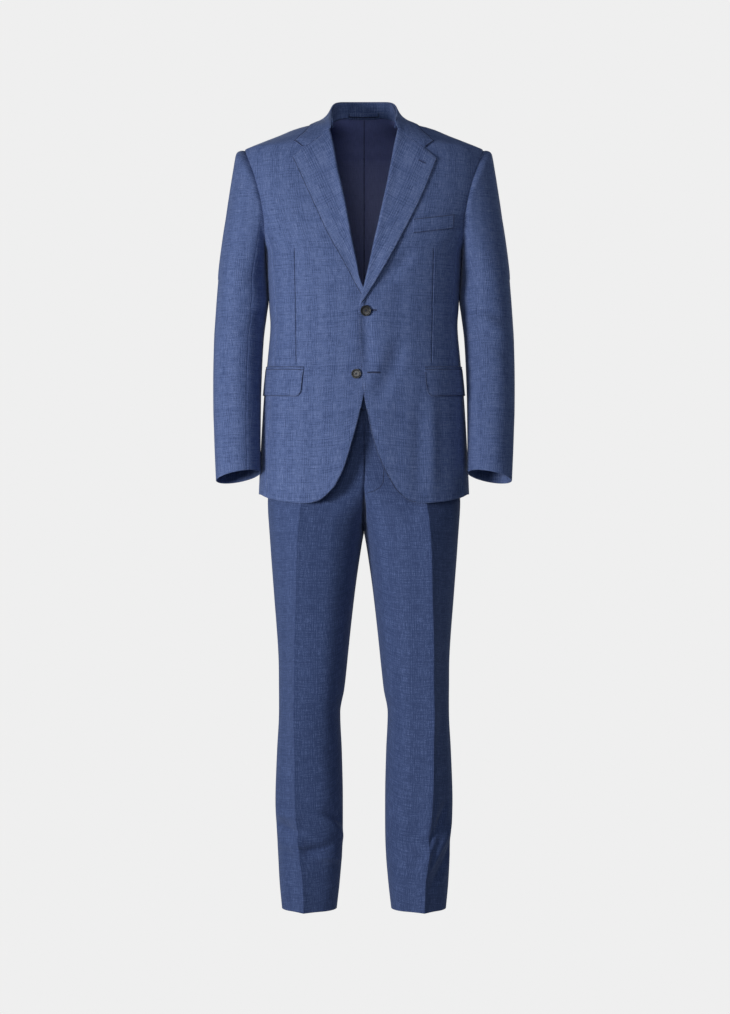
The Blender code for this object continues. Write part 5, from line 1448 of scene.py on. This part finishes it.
def sewDarts():
    height = np.linspace(dartCut["top"][1] - 0.004, dartCut["foot"][1], 60)
    angle = bodyAngle(dartX(height), height)
    for side, end in sides:
        line = bodyPoint(side * angle, height, overlapLift(side, angle, height) - 0.0006)
        sewOn("dart" + end, [alongLine(line, bodyNormal(side * angle, height), "dart")], "dart")


def sewJacket():
    pick, edge, seam, flapIn = (sewing[key] for key in ("pickInset", "edgeInset", "seamInset", "flapInset"))
    for side, end in sides:
        lapel, front, flap, jet = (part + end for part in ("lapel", "front", "flap", "jet"))
        sewRows("pickLapel" + end, "pick", (lapel, "R", pick, 0.015, 0.93))
        # painted shade: a dark line along the lapel's edge
        sewRows("edgeLapel" + end, "edge", (lapel, "R", edge, 0.0, 0.985))
        if side > 0:
            # painted shade: dark dots along the over front's edge
            sewRows("dotsFront", "dot", (front, "L", edge, 0.0, 1.0, -0.345, -0.53))
        # painted shade: a dark line along the front's lower edge and hem corner
        sewRows("edgeFront" + end, "edge", (front, "L", edge, 0.0, 1.0, -0.53), (front, "S", edge, 0.0, 0.30))
        sewRows("pickFront" + end, "pick", (front, "L", pick, 0.0, 1.0, ofSide(side, (-0.345, -0.40))),
                (front, "S", pick, 0.02, 0.30))
        sewRows("pickFlap" + end, "pick", (flap, "L", flapIn, 0.1, 0.95), (flap, "E", flapIn, 0.06))
        # painted shade: dark lines along the flap's and jet's edges
        sewRows("edgeFlap" + end, "edge", (flap, "L", edge, 0.1), (flap, "E", edge))
        sewRows("edgeJet" + end, "edge", (jet, "E", edge), (jet, "S", edge))
    sewRows("pickCollar", "pick", ("collarLeaf", "E", pick, 0.05, 0.95))
    # painted shade: dark lines in the notches under the collar's ends and along the collar's edge
    sewRows("notches", "join", *[("collarLeaf", border, seam, 0.74) for border in "LR"])
    sewRows("edgeCollar", "edge", ("collarLeaf", "E", edge))
    sewRows("gorgeSeam", "dart", *[("collarLeaf", border, seam, 0.28, 0.75) for border in "LR"],
            thread=threadBlue)
    sewRows("standRows", "lock", *[("collarStand", "S", away, 0.22, 0.78) for away in sewing["standRows"]])
    sewRows("standSeam", "join", ("collarStand", "S", edge, 0.15, 0.85))
    line, facing = inset(*grids["liningLeft"], "R", seam)
    sewOn("liningSeam", [alongLine(line - facing * satinSheet["thickness"], -facing, "join")], "join")
    # painted shade: dark lines along the breast welt's edges
    sewRows("weltEdge", "edge", ("breastWelt", "S", edge), ("breastWelt", "E", edge),
            ("breastWelt", "R", 0.0015))
    # painted shade: a dark row under the loop's lower edge; the rows at its ends are its bar tacks
    sewRows("loopEdge", "join", ("hangerLoop", "S", edge), ("hangerLoop", "R", 0.0012),
            ("hangerLoop", "L", 0.0012))
    x, height = np.linspace(0.0995, 0.1131, 12), mix(-0.0736, -0.0794, np.linspace(0.0, 1.0, 12))
    line = lapelSurface(1, x, height, frontX(1, height))
    buttonhole("lapelHole", line, bodyNormal(bodyAngle(x, height), height), threadBlue, threadPale)
    buttonhole("upperHole", *onFront(np.linspace(0.0085, 0.0235, 12), -0.3507), threadNavy, threadBlue)
    buttonhole("lowerHole", *onFront(np.linspace(0.0060, 0.0298, 20), -0.4656), threadNavy, threadBlue)


def sewTrousers():
    # the curved row that holds the fly, as x and height
    x, height = np.array(((0.0372, -0.545), (0.0372, -0.588), (0.0368, -0.640), (0.0335, -0.6676),
                          (0.0261, -0.6796), (0.0151, -0.6860), (0.0022, -0.6897))).T
    share = lengthsAlong(np.stack([x, height], -1), 0)
    at = np.linspace(0.0, share[-1], 60)
    line, facing = onLeg(np.interp(at, share, x), np.interp(at, share, height))
    sewOn("flyRow", [alongLine(line, facing, "edge")], "edge")


buildFronts()
buildSides()
buildBacks()
buildSleeves()
buildLapels()
buildLeaf()
buildStand()
buildPockets()
buildLoop()
buildButtons()
buildLegs()
buildWaistband()
print("garment built")
sewJacket()
sewDarts()
sewTrousers()
print("sewn")


# floor, light and camera
stageLook = {
    "floorLevel": -2.60, "floorSize": 60.0, "floorColour": (0.90, 0.90, 0.90, 1.0), "floorRoughness": 0.9,
    "backdrop": (0.863, 0.863, 0.863, 1.0), "ambient": (0.053, 0.073, 0.100, 1.0),
    "cameraPlace": (0.0019, -4.4, -0.7118), "viewHeight": 1.914, "aim": (0.0, 0.0, -0.45),
    # place, power and size
    "lamps": {"key": ((-1.75, -1.85, -0.58), 51.0, 0.6), "fill": ((-0.35, -3.3, 0.10), 14.5, 0.9),
              "leftSide": ((-3.1, 0.35, -0.7), 4.0, 1.6), "rightSide": ((1.7, -0.5, 1.2), 5.5, 0.8),
              "back": ((0.9, 3.0, 0.2), 20.0, 1.4)}}


def seenPlain(tree, output, lit, shown):
    # the backdrop is seen in its own colour, whatever light falls on it or comes from it
    seen = node(tree, "ShaderNodeLightPath").outputs["Is Camera Ray"]
    mixed = node(tree, "ShaderNodeMixShader", {0: seen, 1: lit, 2: shown})
    plug(tree, tree.nodes[output].inputs["Surface"], mixed.outputs[0])


def buildWorld():
    world = bpy.data.worlds.new("studio")
    bpy.context.scene.world = world
    world.use_nodes = True
    tree = world.node_tree
    shown = tree.nodes["Background"]
    shown.inputs["Color"].default_value = stageLook["backdrop"]
    ambient = node(tree, "ShaderNodeBackground", {"Color": stageLook["ambient"]})
    seenPlain(tree, "World Output", ambient.outputs[0], shown.outputs[0])


def buildFloor():
    look = stageLook
    half = look["floorSize"] / 2
    mesh = bpy.data.meshes.new("floor")
    corners = [(x * half, y * half, 0) for x, y in ((-1, -1), (1, -1), (1, 1), (-1, 1))]
    mesh.from_pydata(corners, [], [(0, 1, 2, 3)])
    made, tree, shader = newMaterial("floorPaper", {"Base Color": look["floorColour"],
                                                    "Roughness": look["floorRoughness"]})
    glow = node(tree, "ShaderNodeEmission", {"Color": look["backdrop"]})
    seenPlain(tree, "Material Output", shader.outputs[0], glow.outputs[0])
    mesh.materials.append(made)
    floor = linked("floor", mesh)
    floor.location.z = look["floorLevel"]


def buildLamps():
    for name, (place, power, size) in stageLook["lamps"].items():
        light = bpy.data.lights.new(name, "AREA")
        light.energy, light.size = power, size
        lamp = linked(name, light)
        lamp.location = place
        lamp.visible_camera = False
        lamp.rotation_euler = (Vector(stageLook["aim"]) - Vector(place)).to_track_quat("-Z", "Y").to_euler()


def buildCamera():
    camera = bpy.data.cameras.new("view")
    camera.sensor_fit = "VERTICAL"
    camera.angle = 2 * math.atan(stageLook["viewHeight"] / 2 / -stageLook["cameraPlace"][1])
    eye = linked("view", camera)
    eye.location = stageLook["cameraPlace"]
    eye.rotation_euler = (math.radians(90.0), 0.0, 0.0)
    bpy.context.scene.camera = eye
    bpy.context.scene.view_settings.view_transform = "Standard"


buildFloor()
buildWorld()
buildLamps()
buildCamera()
print("stage set")
